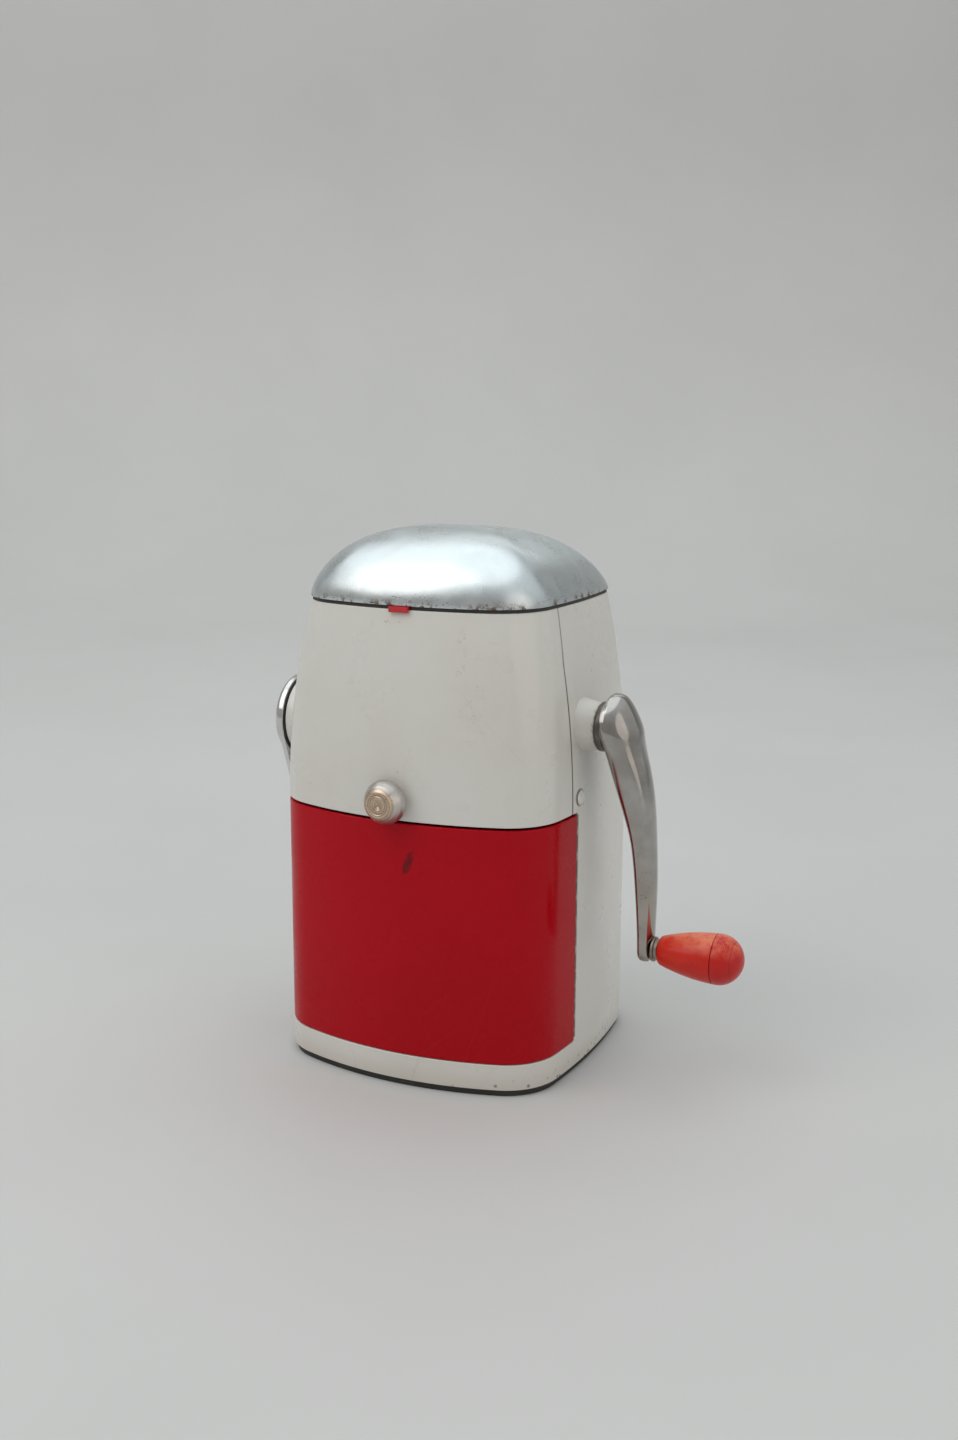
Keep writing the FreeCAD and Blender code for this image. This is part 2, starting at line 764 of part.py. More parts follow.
def hopper_screws():
    """Pan-head screws through the flange into the corner bosses."""
    screws = []
    for x, y in hopper_screw_places():
        seat = Vector(x, y, hopper_flange_top)
        head = cylinder(screw_head_share * hopper_screw_radius, seat,
                        seat + Vector(0, 0, hopper_screw_radius))
        grip = Vector(0, 0, screw_grip_share * hopper_boss_depth)
        shank = cylinder(hopper_screw_radius, seat - grip, seat)
        screws.append(fused([shank, head]))
    return Part.makeCompound(screws)


def ring_places():
    first = -ring_pitch * (tooth_rings - 1) / 2
    return [first + ring_pitch * index for index in range(tooth_rings)]


def finger_places():
    rings = ring_places()
    return [(left + right) / 2 for left, right in zip(rings[:-1], rings[1:])]


def comb_screw_places():
    return [-comb_screw_x, comb_screw_x]


def breaker_comb():
    """Fixed comb on the throat's front wall; its fingers reach between the tooth rings."""
    half_length = throat_half_width - throat_corner
    rear = throat_front_y + comb_plate
    tip = crank_y - drum_radius - comb_drum_gap
    low, high = crank_z - comb_height / 2, crank_z + comb_height / 2
    pieces = [box_between((-half_length, throat_front_y, low), (half_length, rear, high))]
    for x in finger_places():
        pieces.append(side_prism([
            (throat_front_y, low), (rear, low), (tip, crank_z - comb_tip_height / 2),
            (tip, crank_z + comb_tip_height / 2), (rear, high), (throat_front_y, high)],
            x - comb_width / 2, x + comb_width / 2))
    holes = [cylinder(comb_screw_radius + press_gap, Vector(x, throat_front_y, crank_z),
                      Vector(x, rear, crank_z)) for x in comb_screw_places()]
    return fused(pieces).cut(holes)


def comb_screws():
    screws = []
    for x in comb_screw_places():
        seat = Vector(x, throat_front_y - hopper_wall, crank_z)
        head = cylinder(screw_head_share * comb_screw_radius, seat - Vector(0, comb_screw_radius, 0), seat)
        grip = Vector(0, hopper_wall + screw_grip_share * comb_plate, 0)
        shank = cylinder(comb_screw_radius, seat, seat + grip)
        screws.append(fused([head, shank]))
    return Part.makeCompound(screws)


def rectangle_wire(centre, across, along, half_across, half_along):
    across, along = across * half_across, along * half_along
    corners = [centre - across - along, centre + across - along,
               centre + across + along, centre - across + along]
    return Part.makePolygon(corners + corners[:1])


def rotor_tooth(x, angle):
    """Hooked pick: a tapered block whose tip leans into the turn."""
    radial = Vector(0, math.cos(angle), math.sin(angle))
    tangent = Vector(0, -math.sin(angle), math.cos(angle))
    centre = Vector(x, crank_y, crank_z)
    axis = Vector(1, 0, 0)
    root = rectangle_wire(centre + radial * (drum_radius - 2.0), axis, tangent, tooth_width / 2,
                          tooth_root_length / 2)
    tip = rectangle_wire(centre + radial * tooth_tip_radius - tangent * tooth_rake, axis, tangent,
                         tooth_tip_width / 2, tooth_tip_length / 2)
    return Part.makeLoft([root, tip], True, True)


def rotor_half_length():
    return ring_pitch * (tooth_rings - 1) / 2 + drum_overhang


def rotor():
    """Cast drum whose rings of picks are each turned on from the last."""
    half = rotor_half_length()
    pieces = [along_x(drum_radius, -half, half, crank_y, crank_z)]
    step = 2 * math.pi / teeth_per_ring
    for ring, x in enumerate(ring_places()):
        for tooth in range(teeth_per_ring):
            pieces.append(rotor_tooth(x, step * tooth + step * ring / 3))
    drum = fused(pieces)
    drum = drum.common(along_x(tooth_tip_radius, -half, half, crank_y, crank_z))
    bore = along_x(shaft_radius + press_gap, -half, half, crank_y, crank_z)
    return drum.cut([bore, rotor_pin_bar(press_gap, drum_radius + 1.0)])


def rotor_pin_bar(clearance, reach):
    return cylinder(rotor_pin_radius + clearance, Vector(0, crank_y, crank_z - reach),
                    Vector(0, crank_y, crank_z + reach))


def rotor_pin():
    return rotor_pin_bar(0, drum_radius - 0.4)


def rotor_bush_outer_x():
    return throat_half_width + hopper_wall + bush_flange


def clip_x():
    return -(rotor_bush_outer_x() + fit_gap)


def shaft_end_x():
    return clip_x() - 2 * clip_thickness


def crank_face_x():
    return crank_boss_face_x() + fit_gap + collar_thickness


def crank_shaft():
    """Steel shaft from the clip beyond the left bush into the crank head."""
    bar = along_x(shaft_radius, shaft_end_x(), crank_face_x() + shaft_depth_in_head, crank_y, crank_z)
    groove = along_x(shaft_radius + 1.0, clip_x() - clip_thickness - press_gap, clip_x() + press_gap,
                     crank_y, crank_z)
    groove = groove.cut(along_x(shaft_radius - clip_depth, clip_x() - 2.0, clip_x() + 1.0, crank_y, crank_z))
    return bar.cut([groove, rotor_pin_bar(press_gap, drum_radius)])


def shaft_clip():
    """Open retaining ring in the shaft's groove."""
    start = Vector(clip_x() - clip_thickness, crank_y, crank_z)
    end = Vector(clip_x(), crank_y, crank_z)
    ring = tube(shaft_radius + 2.0, shaft_radius - clip_depth + press_gap, start, end)
    mouth = box_between((clip_x() - clip_thickness, crank_y - 1.5, crank_z),
                        (clip_x(), crank_y + 1.5, crank_z + 2 * shaft_radius))
    return ring.cut(mouth)


def flanged_bush(side, inner_x, seat_x, flange_out):
    """Sleeve from inner_x to seat_x, with a flange beyond the seat; side mirrors it."""
    bore = shaft_radius + running_gap
    outer = bore + bush_wall
    end = seat_x + flange_out
    low, high = sorted((seat_x, end))
    sleeve_low, sleeve_high = sorted((inner_x, seat_x))
    body = fused([
        along_x(outer, sleeve_low, sleeve_high, crank_y, crank_z),
        along_x(bush_flange_radius, low, high, crank_y, crank_z)])
    body = body.cut(along_x(bore, min(inner_x, end), max(inner_x, end), crank_y, crank_z))
    return body if side > 0 else body.mirror(Vector(0, 0, 0), Vector(1, 0, 0))


def rotor_bush(side):
    return flanged_bush(side, throat_half_width, throat_half_width + hopper_wall, bush_flange)


def crank_bush():
    """Bush in the housing's boss, its flange against the inside of the wall."""
    inner_wall = side_x(crank_y + bush_flange_radius, crank_z + bush_flange_radius) - wall
    return flanged_bush(1, crank_boss_face_x(), inner_wall - fit_gap, -bush_flange)


def crank_collar():
    return tube(collar_radius, shaft_radius + press_gap,
                Vector(crank_boss_face_x() + fit_gap, crank_y, crank_z),
                Vector(crank_face_x() - press_gap, crank_y, crank_z))


# Crank arm

# Each station down the arm: share of the throw, share of the outward sweep of the inner face,
# thickness, width, inner corner, outer corner and the crown's bow as a share of the width.
arm_stations = [
    (0.00, 0.00, head_depth, 2 * head_radius, 2.5, head_corner, head_crown),
    (0.09, 0.15, 13.8, 26.6, 2.5, 8.8, 0.85),
    (0.20, 0.28, 14.4, 21.1, 2.4, 6.0, arm_crown),
    (0.34, 0.52, 12.8, 17.3, 2.3, 4.2, arm_crown),
    (0.52, 0.78, 9.8, 13.6, 2.1, 3.0, arm_crown),
    (0.72, 0.91, 8.3, 13.1, 2.0, 2.4, arm_crown),
    (1.00, 1.00, arm_end_thickness, arm_end_width, 1.8, 2.0, arm_crown),
]


def arm_section(station):
    """Level slice of the arm: flat inside, bowed front and back, crested outer corners."""
    down, sweep, thickness, width, inner_corner, outer_corner, crown = station
    inner_x = crank_face_x() + sweep * crank_sweep
    level = crank_z - down * crank_throw
    bows = (40 * width, 1.6 * width, crown * width)
    return bowed_outline(width / 2, inner_x, inner_x + thickness, bows, (inner_corner, outer_corner),
                         lambda point: Vector(point.y, crank_y + point.x, level))


def crank_head():
    """Upper half of a turned dome, from the same slice that starts the arm."""
    down, sweep, thickness, width, inner_corner, outer_corner, crown = arm_stations[0]
    face_x = crank_face_x()
    bows = (40 * width, 1.6 * width, crown * width)
    points = outline_points(width / 2, face_x, face_x + thickness, bows, (inner_corner, outer_corner))
    flat = [Vector(point.y, point.x, 0) for point in points]
    start = Vector(face_x, flat[0].y, 0)
    tip = Vector(face_x + thickness, 0, 0)
    bow_centre = tip - Vector(bows[2], 0, 0)
    between = bow_centre + ((tip + flat[6]) / 2 - bow_centre).normalize() * bows[2]
    edges = [line((face_x, 0), (face_x, flat[0].y))]
    edges.append(Part.Arc(start, flat[1], flat[2]).toShape())
    edges.append(Part.Arc(flat[2], flat[3], flat[4]).toShape())
    edges.append(Part.Arc(flat[4], flat[5], flat[6]).toShape())
    edges.append(Part.Arc(flat[6], between, tip).toShape())
    edges.append(line((face_x + thickness, 0), (face_x, 0)))
    dome = revolved_about_x(edges, crank_y, crank_z)
    upper = box_between((face_x - 1.0, crank_y - width, crank_z), (face_x + 2 * thickness, crank_y + width,
                        crank_z + width))
    return dome.common(upper)


grip_z = crank_z - crank_throw


def arm_outer_x():
    return crank_face_x() + crank_sweep + arm_end_thickness


def crank_arm():
    """Forged crank: domed head, tapering swept arm and round end."""
    blade = Part.makeLoft([arm_section(station) for station in arm_stations], True, False)
    end = along_x(arm_end_width / 2, arm_outer_x() - arm_end_thickness, arm_outer_x(), crank_y, grip_z)
    end = end.makeFillet(1.6, [edge for edge in end.Edges if edge.Length > arm_end_width])
    whole = fused([crank_head(), blade, end])
    shaft_bore = along_x(shaft_radius + press_gap, crank_face_x() - 1.0,
                         crank_face_x() + shaft_depth_in_head + fit_gap, crank_y, crank_z)
    spindle_bore = along_x(spindle_radius + press_gap, arm_outer_x() - 2 * arm_end_thickness,
                           arm_outer_x() + 1.0, crank_y, grip_z)
    screw_bore = cylinder(set_screw_radius + press_gap, Vector(set_screw_x(), crank_y, crank_z),
                          Vector(set_screw_x(), crank_y + 2 * head_radius, crank_z))
    washer_seat = along_x(ferrule_radius + press_gap, arm_outer_x(), arm_outer_x() + arm_end_thickness,
                          crank_y, grip_z)
    return whole.cut([shaft_bore, spindle_bore, screw_bore, washer_seat])


def set_screw_x():
    return crank_face_x() + 0.4 * head_depth


def crank_set_screw():
    """Grub screw in the back of the head, down onto the shaft."""
    inner = crank_y + shaft_radius + press_gap
    return cylinder(set_screw_radius, Vector(set_screw_x(), inner, crank_z),
                    Vector(set_screw_x(), crank_y + head_radius - 2.5, crank_z))


# Grip

ferrule_start_x = arm_outer_x()
grip_start_x = ferrule_start_x + ferrule_length + fit_gap
grip_split_x = grip_start_x + grip_cap_share * grip_length
grip_end_x = grip_start_x + grip_length
spindle_end_x = grip_split_x - 1.0


def grip_ferrule():
    """Stepped washer between the arm and the grip."""
    flange = along_x(ferrule_radius, ferrule_start_x, ferrule_start_x + ferrule_flange, crank_y, grip_z)
    neck = along_x(0.8 * ferrule_radius, ferrule_start_x, ferrule_start_x + ferrule_length, crank_y, grip_z)
    bore = along_x(spindle_radius + press_gap, ferrule_start_x, grip_start_x, crank_y, grip_z)
    return fused([flange, neck]).cut(bore)


def grip_spindle():
    """Riveted pin through the arm, with the head that keeps the grip on."""
    bar = along_x(spindle_radius, arm_outer_x() - arm_end_thickness, spindle_end_x, crank_y, grip_z)
    head = along_x(spindle_head_radius, spindle_end_x - spindle_head, spindle_end_x, crank_y, grip_z)
    return fused([bar, head])


def grip_body():
    """Main part of the grip, counterbored for the spindle's head."""
    chamfer_x = grip_start_x + grip_rim
    split = grip_split_x - grip_groove / 2
    slope = (grip_radius - grip_near_radius) / (split - chamfer_x)
    middle_x = (chamfer_x + split) / 2
    middle_radius = grip_near_radius + slope * (middle_x - chamfer_x) + 0.9
    edges = polyline([(grip_start_x, 0), (grip_start_x, grip_near_radius - grip_rim)])
    turn = grip_rim * (1 - math.sqrt(0.5))
    edges.append(arc((grip_start_x, grip_near_radius - grip_rim),
                     (grip_start_x + turn, grip_near_radius - turn), (chamfer_x, grip_near_radius)))
    edges.append(arc((chamfer_x, grip_near_radius), (middle_x, middle_radius), (split, grip_radius)))
    edges += polyline([(split, grip_radius), (split, 0), (grip_start_x, 0)])
    solid = revolved_about_x(edges, crank_y, grip_z)
    bore = along_x(spindle_radius + running_gap, grip_start_x - 1.0, split + 1.0, crank_y, grip_z)
    head_room = along_x(spindle_head_radius + fit_gap, spindle_end_x - spindle_head - fit_gap, split + 1.0,
                        crank_y, grip_z)
    socket = along_x(grip_spigot_radius + grip_socket_gap, split - grip_spigot_length - grip_socket_gap,
                     split + 1.0, crank_y, grip_z)
    return solid.cut([bore, head_room, socket])


def grip_cap():
    """Rounded end of the grip, with a spigot and a recess over the spindle's head."""
    start = grip_split_x + grip_groove / 2
    dome_start = start + grip_cap_band
    edges = polyline([(start, 0), (start, grip_radius), (dome_start, grip_radius)])
    edges += domed_end(dome_start, grip_radius, grip_end_x - dome_start, grip_end_corner)
    edges.append(line((grip_end_x, 0), (start, 0)))
    solid = revolved_about_x(edges, crank_y, grip_z)
    spigot_x = start - grip_groove - grip_spigot_length
    spigot = along_x(grip_spigot_radius, spigot_x, start + 0.5, crank_y, grip_z)
    recess = along_x(spindle_head_radius + fit_gap, spigot_x - 1.0, spindle_end_x + fit_gap, crank_y, grip_z)
    return fused([solid, spigot]).cut(recess)


# Selector

def selector_bush_radius():
    return selector_shaft_radius + running_gap + bush_wall


selector_ring_x = selector_face_x() - fit_gap
selector_cap_x = selector_ring_x - selector_ring_thickness
gate_lever_x = shaft_end_x() - 1.5 - gate_lever_thickness
selector_web_x = gate_lever_x - 0.5 - selector_web


def selector_point(x, y, z):
    return Vector(x, selector_y + y, selector_z + z)


def selector_bush():
    """Long bush in the selector boss, with its flange inside the face."""
    face = selector_face_x()
    seat = face + selector_face_wall
    inner_end = selector_web_x - 1.0
    outer = selector_bush_radius()
    body = fused([
        along_x(outer, face, inner_end, selector_y, selector_z),
        along_x(outer + bush_wall, seat, seat + bush_flange, selector_y, selector_z)])
    return body.cut(along_x(selector_shaft_radius + running_gap, face - 1.0, inner_end + 1.0,
                            selector_y, selector_z))


def selector_ring():
    """Black friction ring between the boss and the chrome cap."""
    return tube(selector_boss_radius + 0.2, selector_shaft_radius + press_gap,
                selector_point(selector_cap_x, 0, 0), selector_point(selector_ring_x, 0, 0))


def teardrop_plate(radius, tail, tail_radius, x_low, x_high):
    """Disc joined by tangent sides to a smaller round end below it."""
    lean = math.asin((radius - tail_radius) / tail)
    cos_lean, sin_lean = math.cos(lean), math.sin(lean)
    points = []
    for centre_z, size in ((0, radius), (-tail, tail_radius)):
        points.append((selector_y - size * cos_lean, selector_z + centre_z - size * sin_lean))
    for centre_z, size in ((-tail, tail_radius), (0, radius)):
        points.append((selector_y + size * cos_lean, selector_z + centre_z - size * sin_lean))
    return fused([
        along_x(radius, x_low, x_high, selector_y, selector_z),
        along_x(tail_radius, x_low, x_high, selector_y, selector_z - tail),
        side_prism(points, x_low, x_high)])


def selector_cap():
    """Chrome cap: edged dome over the ring, with the finger tail hanging below."""
    inner = selector_cap_x
    edge = inner - selector_edge
    half = selector_cap_radius
    edges = polyline([(inner, 0), (inner, half), (edge, half)])
    edges += domed_end(edge, half, selector_dome, selector_corner, -1)
    edges.append(line((edge - selector_dome, 0), (inner, 0)))
    dome = revolved_about_x(edges, selector_y, selector_z)
    plate_x = inner - selector_tail_thickness
    plate = teardrop_plate(half - 0.1, selector_tail, selector_tail_radius, plate_x, inner)
    rim = [item for item in plate.Edges if abs(item.CenterOfMass.x - plate_x) < 0.01]
    plate = plate.makeFillet(0.4 * selector_tail_thickness, rim)
    bore = along_x(selector_shaft_radius + press_gap, inner + 1.0, inner - selector_edge - 0.5,
                   selector_y, selector_z)
    return fused([dome, plate]).cut(bore)


def link_pin_place():
    """Where the selector's pin stands at rest: towards the gate from the selector's axis."""
    across = Vector(0, gate_y - selector_y, gate_z - selector_z).normalize()
    return Vector(0, selector_y, selector_z) + across * selector_crank_reach


def selector_shaft():
    """Stub shaft with its crank web and the pin that works the gate lever."""
    pin = link_pin_place()
    bar = along_x(selector_shaft_radius, selector_cap_x - selector_edge, selector_web_x,
                  selector_y, selector_z)
    web_end = selector_web_x + selector_web
    hub = along_x(1.6 * selector_shaft_radius, selector_web_x, web_end, selector_y, selector_z)
    eye = along_x(2 * link_pin_radius, selector_web_x, web_end, pin.y, pin.z)
    across = (pin - Vector(0, selector_y, selector_z)).normalize()
    normal = Vector(0, -across.z, across.y) * (2 * link_pin_radius)
    centre = Vector(0, selector_y, selector_z)
    corners = [centre + normal, pin + normal, pin - normal, centre - normal]
    web = side_prism([(corner.y, corner.z) for corner in corners], selector_web_x, web_end)
    stud = along_x(link_pin_radius, selector_web_x, gate_lever_x + gate_lever_thickness, pin.y, pin.z)
    return fused([bar, hub, eye, web, stud])


# Grinding gate

def gate_lever():
    """Lever outside the throat, slotted round the selector's pin."""
    pin = link_pin_place()
    pivot = Vector(0, gate_y, gate_z)
    along = (pin - pivot).normalize()
    low_x, high_x = gate_lever_x, gate_lever_x + gate_lever_thickness
    slot_half = link_pin_radius + link_clearance
    eye_radius = 2 * slot_half + 0.4
    normal = Vector(0, -along.z, along.y)

    def strip(start, end, half):
        corners = [start + normal * half, end + normal * half, end - normal * half, start - normal * half]
        return side_prism([(corner.y, corner.z) for corner in corners], low_x, high_x)

    near, far = pin - along * link_slot_travel, pin + along * link_slot_travel
    solid = fused([
        along_x(2 * gate_rod_radius, low_x, high_x, gate_y, gate_z),
        strip(pivot, far, eye_radius),
        along_x(eye_radius, low_x, high_x, far.y, far.z)])
    slot = [along_x(slot_half, low_x, high_x, place.y, place.z) for place in (near, far)]
    slot.append(strip(near, far, slot_half))
    return solid.cut(slot + [along_x(gate_rod_radius + press_gap, low_x, high_x, gate_y, gate_z)])


def gate_rod():
    return along_x(gate_rod_radius, gate_lever_x, throat_half_width + 2 * hopper_wall, gate_y, gate_z)


def gate_plate():
    """Swinging toothed plate behind the rotor; its lower edge sets the ice size."""
    half = throat_half_width - throat_corner
    foot_y, foot_z = gate_y - gate_lead, gate_z - gate_drop
    drop = Vector(0, foot_y - gate_y, foot_z - gate_z).normalize()
    normal = Vector(0, drop.z, -drop.y)
    pivot, foot = Vector(0, gate_y, gate_z), Vector(0, foot_y, foot_z)
    behind = normal * (gate_thickness / 2)
    corners = [pivot + behind, foot + behind, foot - behind, pivot - behind]
    pieces = [along_x(gate_hub_radius, -half, half, gate_y, gate_z),
              side_prism([(corner.y, corner.z) for corner in corners], -half, half)]
    towards = normal if (Vector(0, crank_y, crank_z) - foot).dot(normal) > 0 else normal * -1
    root = pivot + drop * (0.45 * gate_drop)
    tip_centre = pivot + drop * (0.75 * gate_drop) + towards * gate_finger_reach
    for x in finger_places():
        points = [(point.y, point.z) for point in (root, tip_centre, tip_centre + drop * 2.5, foot)]
        pieces.append(side_prism(points, x - comb_width / 2, x + comb_width / 2))
    return fused(pieces).cut(along_x(gate_rod_radius + press_gap, -half, half, gate_y, gate_z))


# Bin

def bin_room_half_width():
    return body_half_width - bin_side_gap


def bin_block(offset, low, high):
    """Bin as a solid: body-shaped front joined to a narrower tub behind it."""
    far = 2 * body_half_depth
    front = body_prism(offset, low, high, seam_z)
    front_limit = bin_seam_y - seam_gap - offset
    front = front.common(box_between((-far, -far, low), (far, front_limit, high)))
    tub_front = -body_half_depth / 2
    section = rounded_rectangle(bin_room_half_width() - offset, tub_front - bin_rear_corner,
                                bin_rear_y - offset, bin_rear_corner - offset, low)
    tub = Part.Face(section).extrude(Vector(0, 0, high - low))
    tub = tub.common(box_between((-far, tub_front, low), (far, far, high)))
    return fused([front, tub])


def ice_bin():
    low = floor_z + bin_lift
    high = seam_z - bin_top_gap
    return bin_block(0, low, high).cut(bin_block(bin_wall, low + bin_wall, high))


# Bin latch

def latch_bar(radius, y_start, y_end):
    return cylinder(radius, Vector(0, y_start, latch_z), Vector(0, y_end, latch_z))


cover_face_y = front_y(latch_z)
cover_back_y = cover_face_y + wall
latch_washer_y = cover_face_y - 0.15
latch_washer_thickness = 0.8
tongue_y = cover_back_y + latch_tongue_length ** 2 / (2 * (front_bow - wall)) + fit_gap
stem_end_y = tongue_y + latch_tongue_thickness + latch_nut_thickness


def latch_washer():
    front = latch_washer_y - latch_washer_thickness
    ring = latch_bar(1.9 * latch_stem_radius, front, latch_washer_y)
    return ring.cut(latch_bar(latch_stem_radius + press_gap, front, latch_washer_y))


def latch_knob():
    """Turned knob: short neck, rounded cone and a flat face with turned rings."""
    neck_y = latch_washer_y - latch_washer_thickness - 0.1
    rear_y = cover_face_y - latch_standoff
    face_y = rear_y - latch_knob_depth
    neck_radius = 0.4 * latch_knob_radius
    edge = 1.2
    bulge_y = (rear_y - edge + face_y) / 2 - 0.6
    bulge = (latch_knob_radius + latch_face_radius) / 2 + 0.9
    dimple = 0.35 * latch_face_radius
    groove_out = 0.8 * latch_face_radius
    groove_in = 0.65 * latch_face_radius
    profile = [(0, neck_y), (neck_radius, neck_y), (neck_radius, rear_y),
               (latch_knob_radius - edge / 2, rear_y), (latch_knob_radius, rear_y - edge / 2),
               (latch_knob_radius, rear_y - edge)]
    edges = polyline([(x, y, latch_z) for x, y in profile])
    edges.append(arc((latch_knob_radius, rear_y - edge, latch_z), (bulge, bulge_y, latch_z),
                     (latch_face_radius, face_y, latch_z)))
    groove_y = face_y + 0.35
    face_line = [(latch_face_radius, face_y), (groove_out, face_y), (groove_out, groove_y),
                 (groove_in, groove_y), (groove_in, face_y), (dimple, face_y), (0, face_y + 1.0), (0, neck_y)]
    edges += polyline([(x, y, latch_z) for x, y in face_line])
    solid = Part.Face(Part.Wire(edges)).revolve(Vector(0, 0, latch_z), Vector(0, 1, 0), 360)
    return solid.cut(latch_bar(latch_stem_radius + press_gap, rear_y - 0.6 * latch_knob_depth, neck_y + 1.0))


def latch_stem():
    return latch_bar(latch_stem_radius, cover_face_y - latch_standoff - 0.55 * latch_knob_depth, stem_end_y)


def latch_tongue():
    """Flat turning tongue: level when open, upright behind the bin's front when shut."""
    half = latch_tongue_half_height
    back_y = tongue_y + latch_tongue_thickness
    plate = box_between((0, tongue_y, latch_z - half), (latch_tongue_length - half, back_y, latch_z + half))
    end_x = latch_tongue_length - half
    tip = cylinder(half, Vector(end_x, tongue_y, latch_z), Vector(end_x, back_y, latch_z))
    hub = latch_bar(1.3 * half, tongue_y, back_y)
    return fused([plate, tip, hub]).cut(latch_bar(latch_stem_radius + press_gap, tongue_y, back_y))


def latch_nut():
    """Hexagon nut on the stem behind the tongue."""
    start = tongue_y + latch_tongue_thickness
    corners = [Vector(latch_nut_radius * math.cos(math.radians(60 * index)), start,
                      latch_z + latch_nut_radius * math.sin(math.radians(60 * index))) for index in range(6)]
    nut = Part.Face(Part.makePolygon(corners + corners[:1])).extrude(Vector(0, latch_nut_thickness, 0))
    return nut.cut(latch_bar(latch_stem_radius + press_gap, start, start + latch_nut_thickness))


pieces = {
    "rear_housing": rear_housing,
    "front_cover": front_cover,
    "cover_rivets": cover_rivets,
    "base_pad": base_pad,
    "lid_gasket": lid_gasket,
    "hopper": hopper,
    "hopper_screws": hopper_screws,
    "breaker_comb": breaker_comb,
    "comb_screws": comb_screws,
    "rotor_bush_left": lambda: rotor_bush(-1),
    "rotor_bush_right": lambda: rotor_bush(1),
    "crank_bush": crank_bush,
    "selector_bush": selector_bush,
    "hinge_pin": hinge_pin,
    "lid_shell": lid_shell,
    "lid_hinge_leaf": lid_hinge_leaf,
    "lid_rivets": lid_rivets,
    "lid_tab": lid_tab,
    "crank_arm": crank_arm,
    "crank_collar": crank_collar,
    "crank_set_screw": crank_set_screw,
    "crank_shaft": crank_shaft,
    "shaft_clip": shaft_clip,
    "rotor": rotor,
    "rotor_pin": rotor_pin,
    "grip_spindle": grip_spindle,
    "grip_ferrule": grip_ferrule,
    "grip_body": grip_body,
    "grip_cap": grip_cap,
    "selector_cap": selector_cap,
    "selector_ring": selector_ring,
    "selector_shaft": selector_shaft,
    "gate_plate": gate_plate,
    "gate_rod": gate_rod,
    "gate_lever": gate_lever,
    "ice_bin": ice_bin,
    "latch_knob": latch_knob,
    "latch_washer": latch_washer,
    "latch_stem": latch_stem,
    "latch_tongue": latch_tongue,
    "latch_nut": latch_nut,
}

os.makedirs("parts", exist_ok=True)
for name, make in pieces.items():
    shape = make()
    write(name, shape)
    print(name, "solids", len(shape.Solids), "valid", shape.isValid(), "volume", round(shape.Volume))
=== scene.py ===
"""Hand crank ice crusher: chrome lid and crank, white enamel shells, crimson bin."""
import math

import bmesh
import bpy
from mathutils import Matrix, Vector


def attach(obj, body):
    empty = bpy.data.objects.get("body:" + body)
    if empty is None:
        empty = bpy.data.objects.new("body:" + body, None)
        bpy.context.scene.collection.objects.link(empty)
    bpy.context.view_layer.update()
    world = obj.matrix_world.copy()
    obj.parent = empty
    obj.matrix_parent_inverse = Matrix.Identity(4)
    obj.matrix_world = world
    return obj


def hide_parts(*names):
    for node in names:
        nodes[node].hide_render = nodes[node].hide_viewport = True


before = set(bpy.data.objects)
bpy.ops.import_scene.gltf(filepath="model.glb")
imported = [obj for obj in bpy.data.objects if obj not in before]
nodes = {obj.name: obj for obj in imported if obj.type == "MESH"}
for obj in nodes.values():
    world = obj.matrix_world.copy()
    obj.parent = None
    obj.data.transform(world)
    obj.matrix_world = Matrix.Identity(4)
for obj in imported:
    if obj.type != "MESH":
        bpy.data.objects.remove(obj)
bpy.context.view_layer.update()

MM = 0.001

# Sizes in millimetres, the same as in the solids

BODY_HALF_WIDTH = 69.2
BODY_HALF_DEPTH = 66.8
BOWS = (156.0, 330.0, 500.0)  # radii of the front, the flanks and the back
CORNERS = (26.5, 24.0)  # radii of the front and the back corners
ARC_COUNTS = (10, 12, 7, 12, 10)  # steps on the arcs of half an outline
FRONT_COUNT = sum(ARC_COUNTS[:3])  # steps up to the split on the flank
BASE_Z = 3.0
UNDER_Z = 12.0
FLOOR_Z = 15.0
SEAM_Z = 123.0
RIM_Z = 214.0
WALL = 2.5
SHOULDER_INSET = 9.8
SEAM_GAP = 0.3
SIDE_SEAM_GAP = 0.4
BIN_TOP_GAP = 1.1
COVER_SEAM_Y = -24.0
COVER_SEAM_TOP_Y = -21.0
COVER_SEAM_BEND_Z = 190.0
BIN_SEAM_Y = -19.0

TUB_HALF_WIDTH = 64.8
TUB_BACK_Y = 52.0
TUB_CORNER = 20.0

LID_BASE_Z = 215.5
LID_HEIGHT = 30.96
LID_WALL = 1.2
LID_OVERHANG = 0.3
LID_CREST_SHIFT = -8.3  # the crown stands ahead of the middle of the edge

HINGE_Y = 67.0
HINGE_Z = 209.5
HINGE_RADIUS = 3.8
POST_X = 45.6
POST_Y = 48.0

CRANK_Y = -8.5
CRANK_Z = 160.8
CRANK_FACE_X = 78.7
GRIP_Z = 61.3
GRIP_START = 105.0
GRIP_SPLIT = 131.25
GRIP_END = 143.58
GRIP_RADIUS = 11.35
SPINDLE_HOLE = 2.6

SELECTOR_Y = -9.0
SELECTOR_Z = 152.5
SELECTOR_RADIUS = 20.0
SELECTOR_HOLE = 4.1
SELECTOR_RING = 0.6
TAIL_RADIUS = 6.5
TAIL_DROP = 38.0

KNOB_Z = 132.0
RIVET_Y = -17.0
RIVET_Z = 129.5


# Plan outline shared by the body, the lid and the crank arm

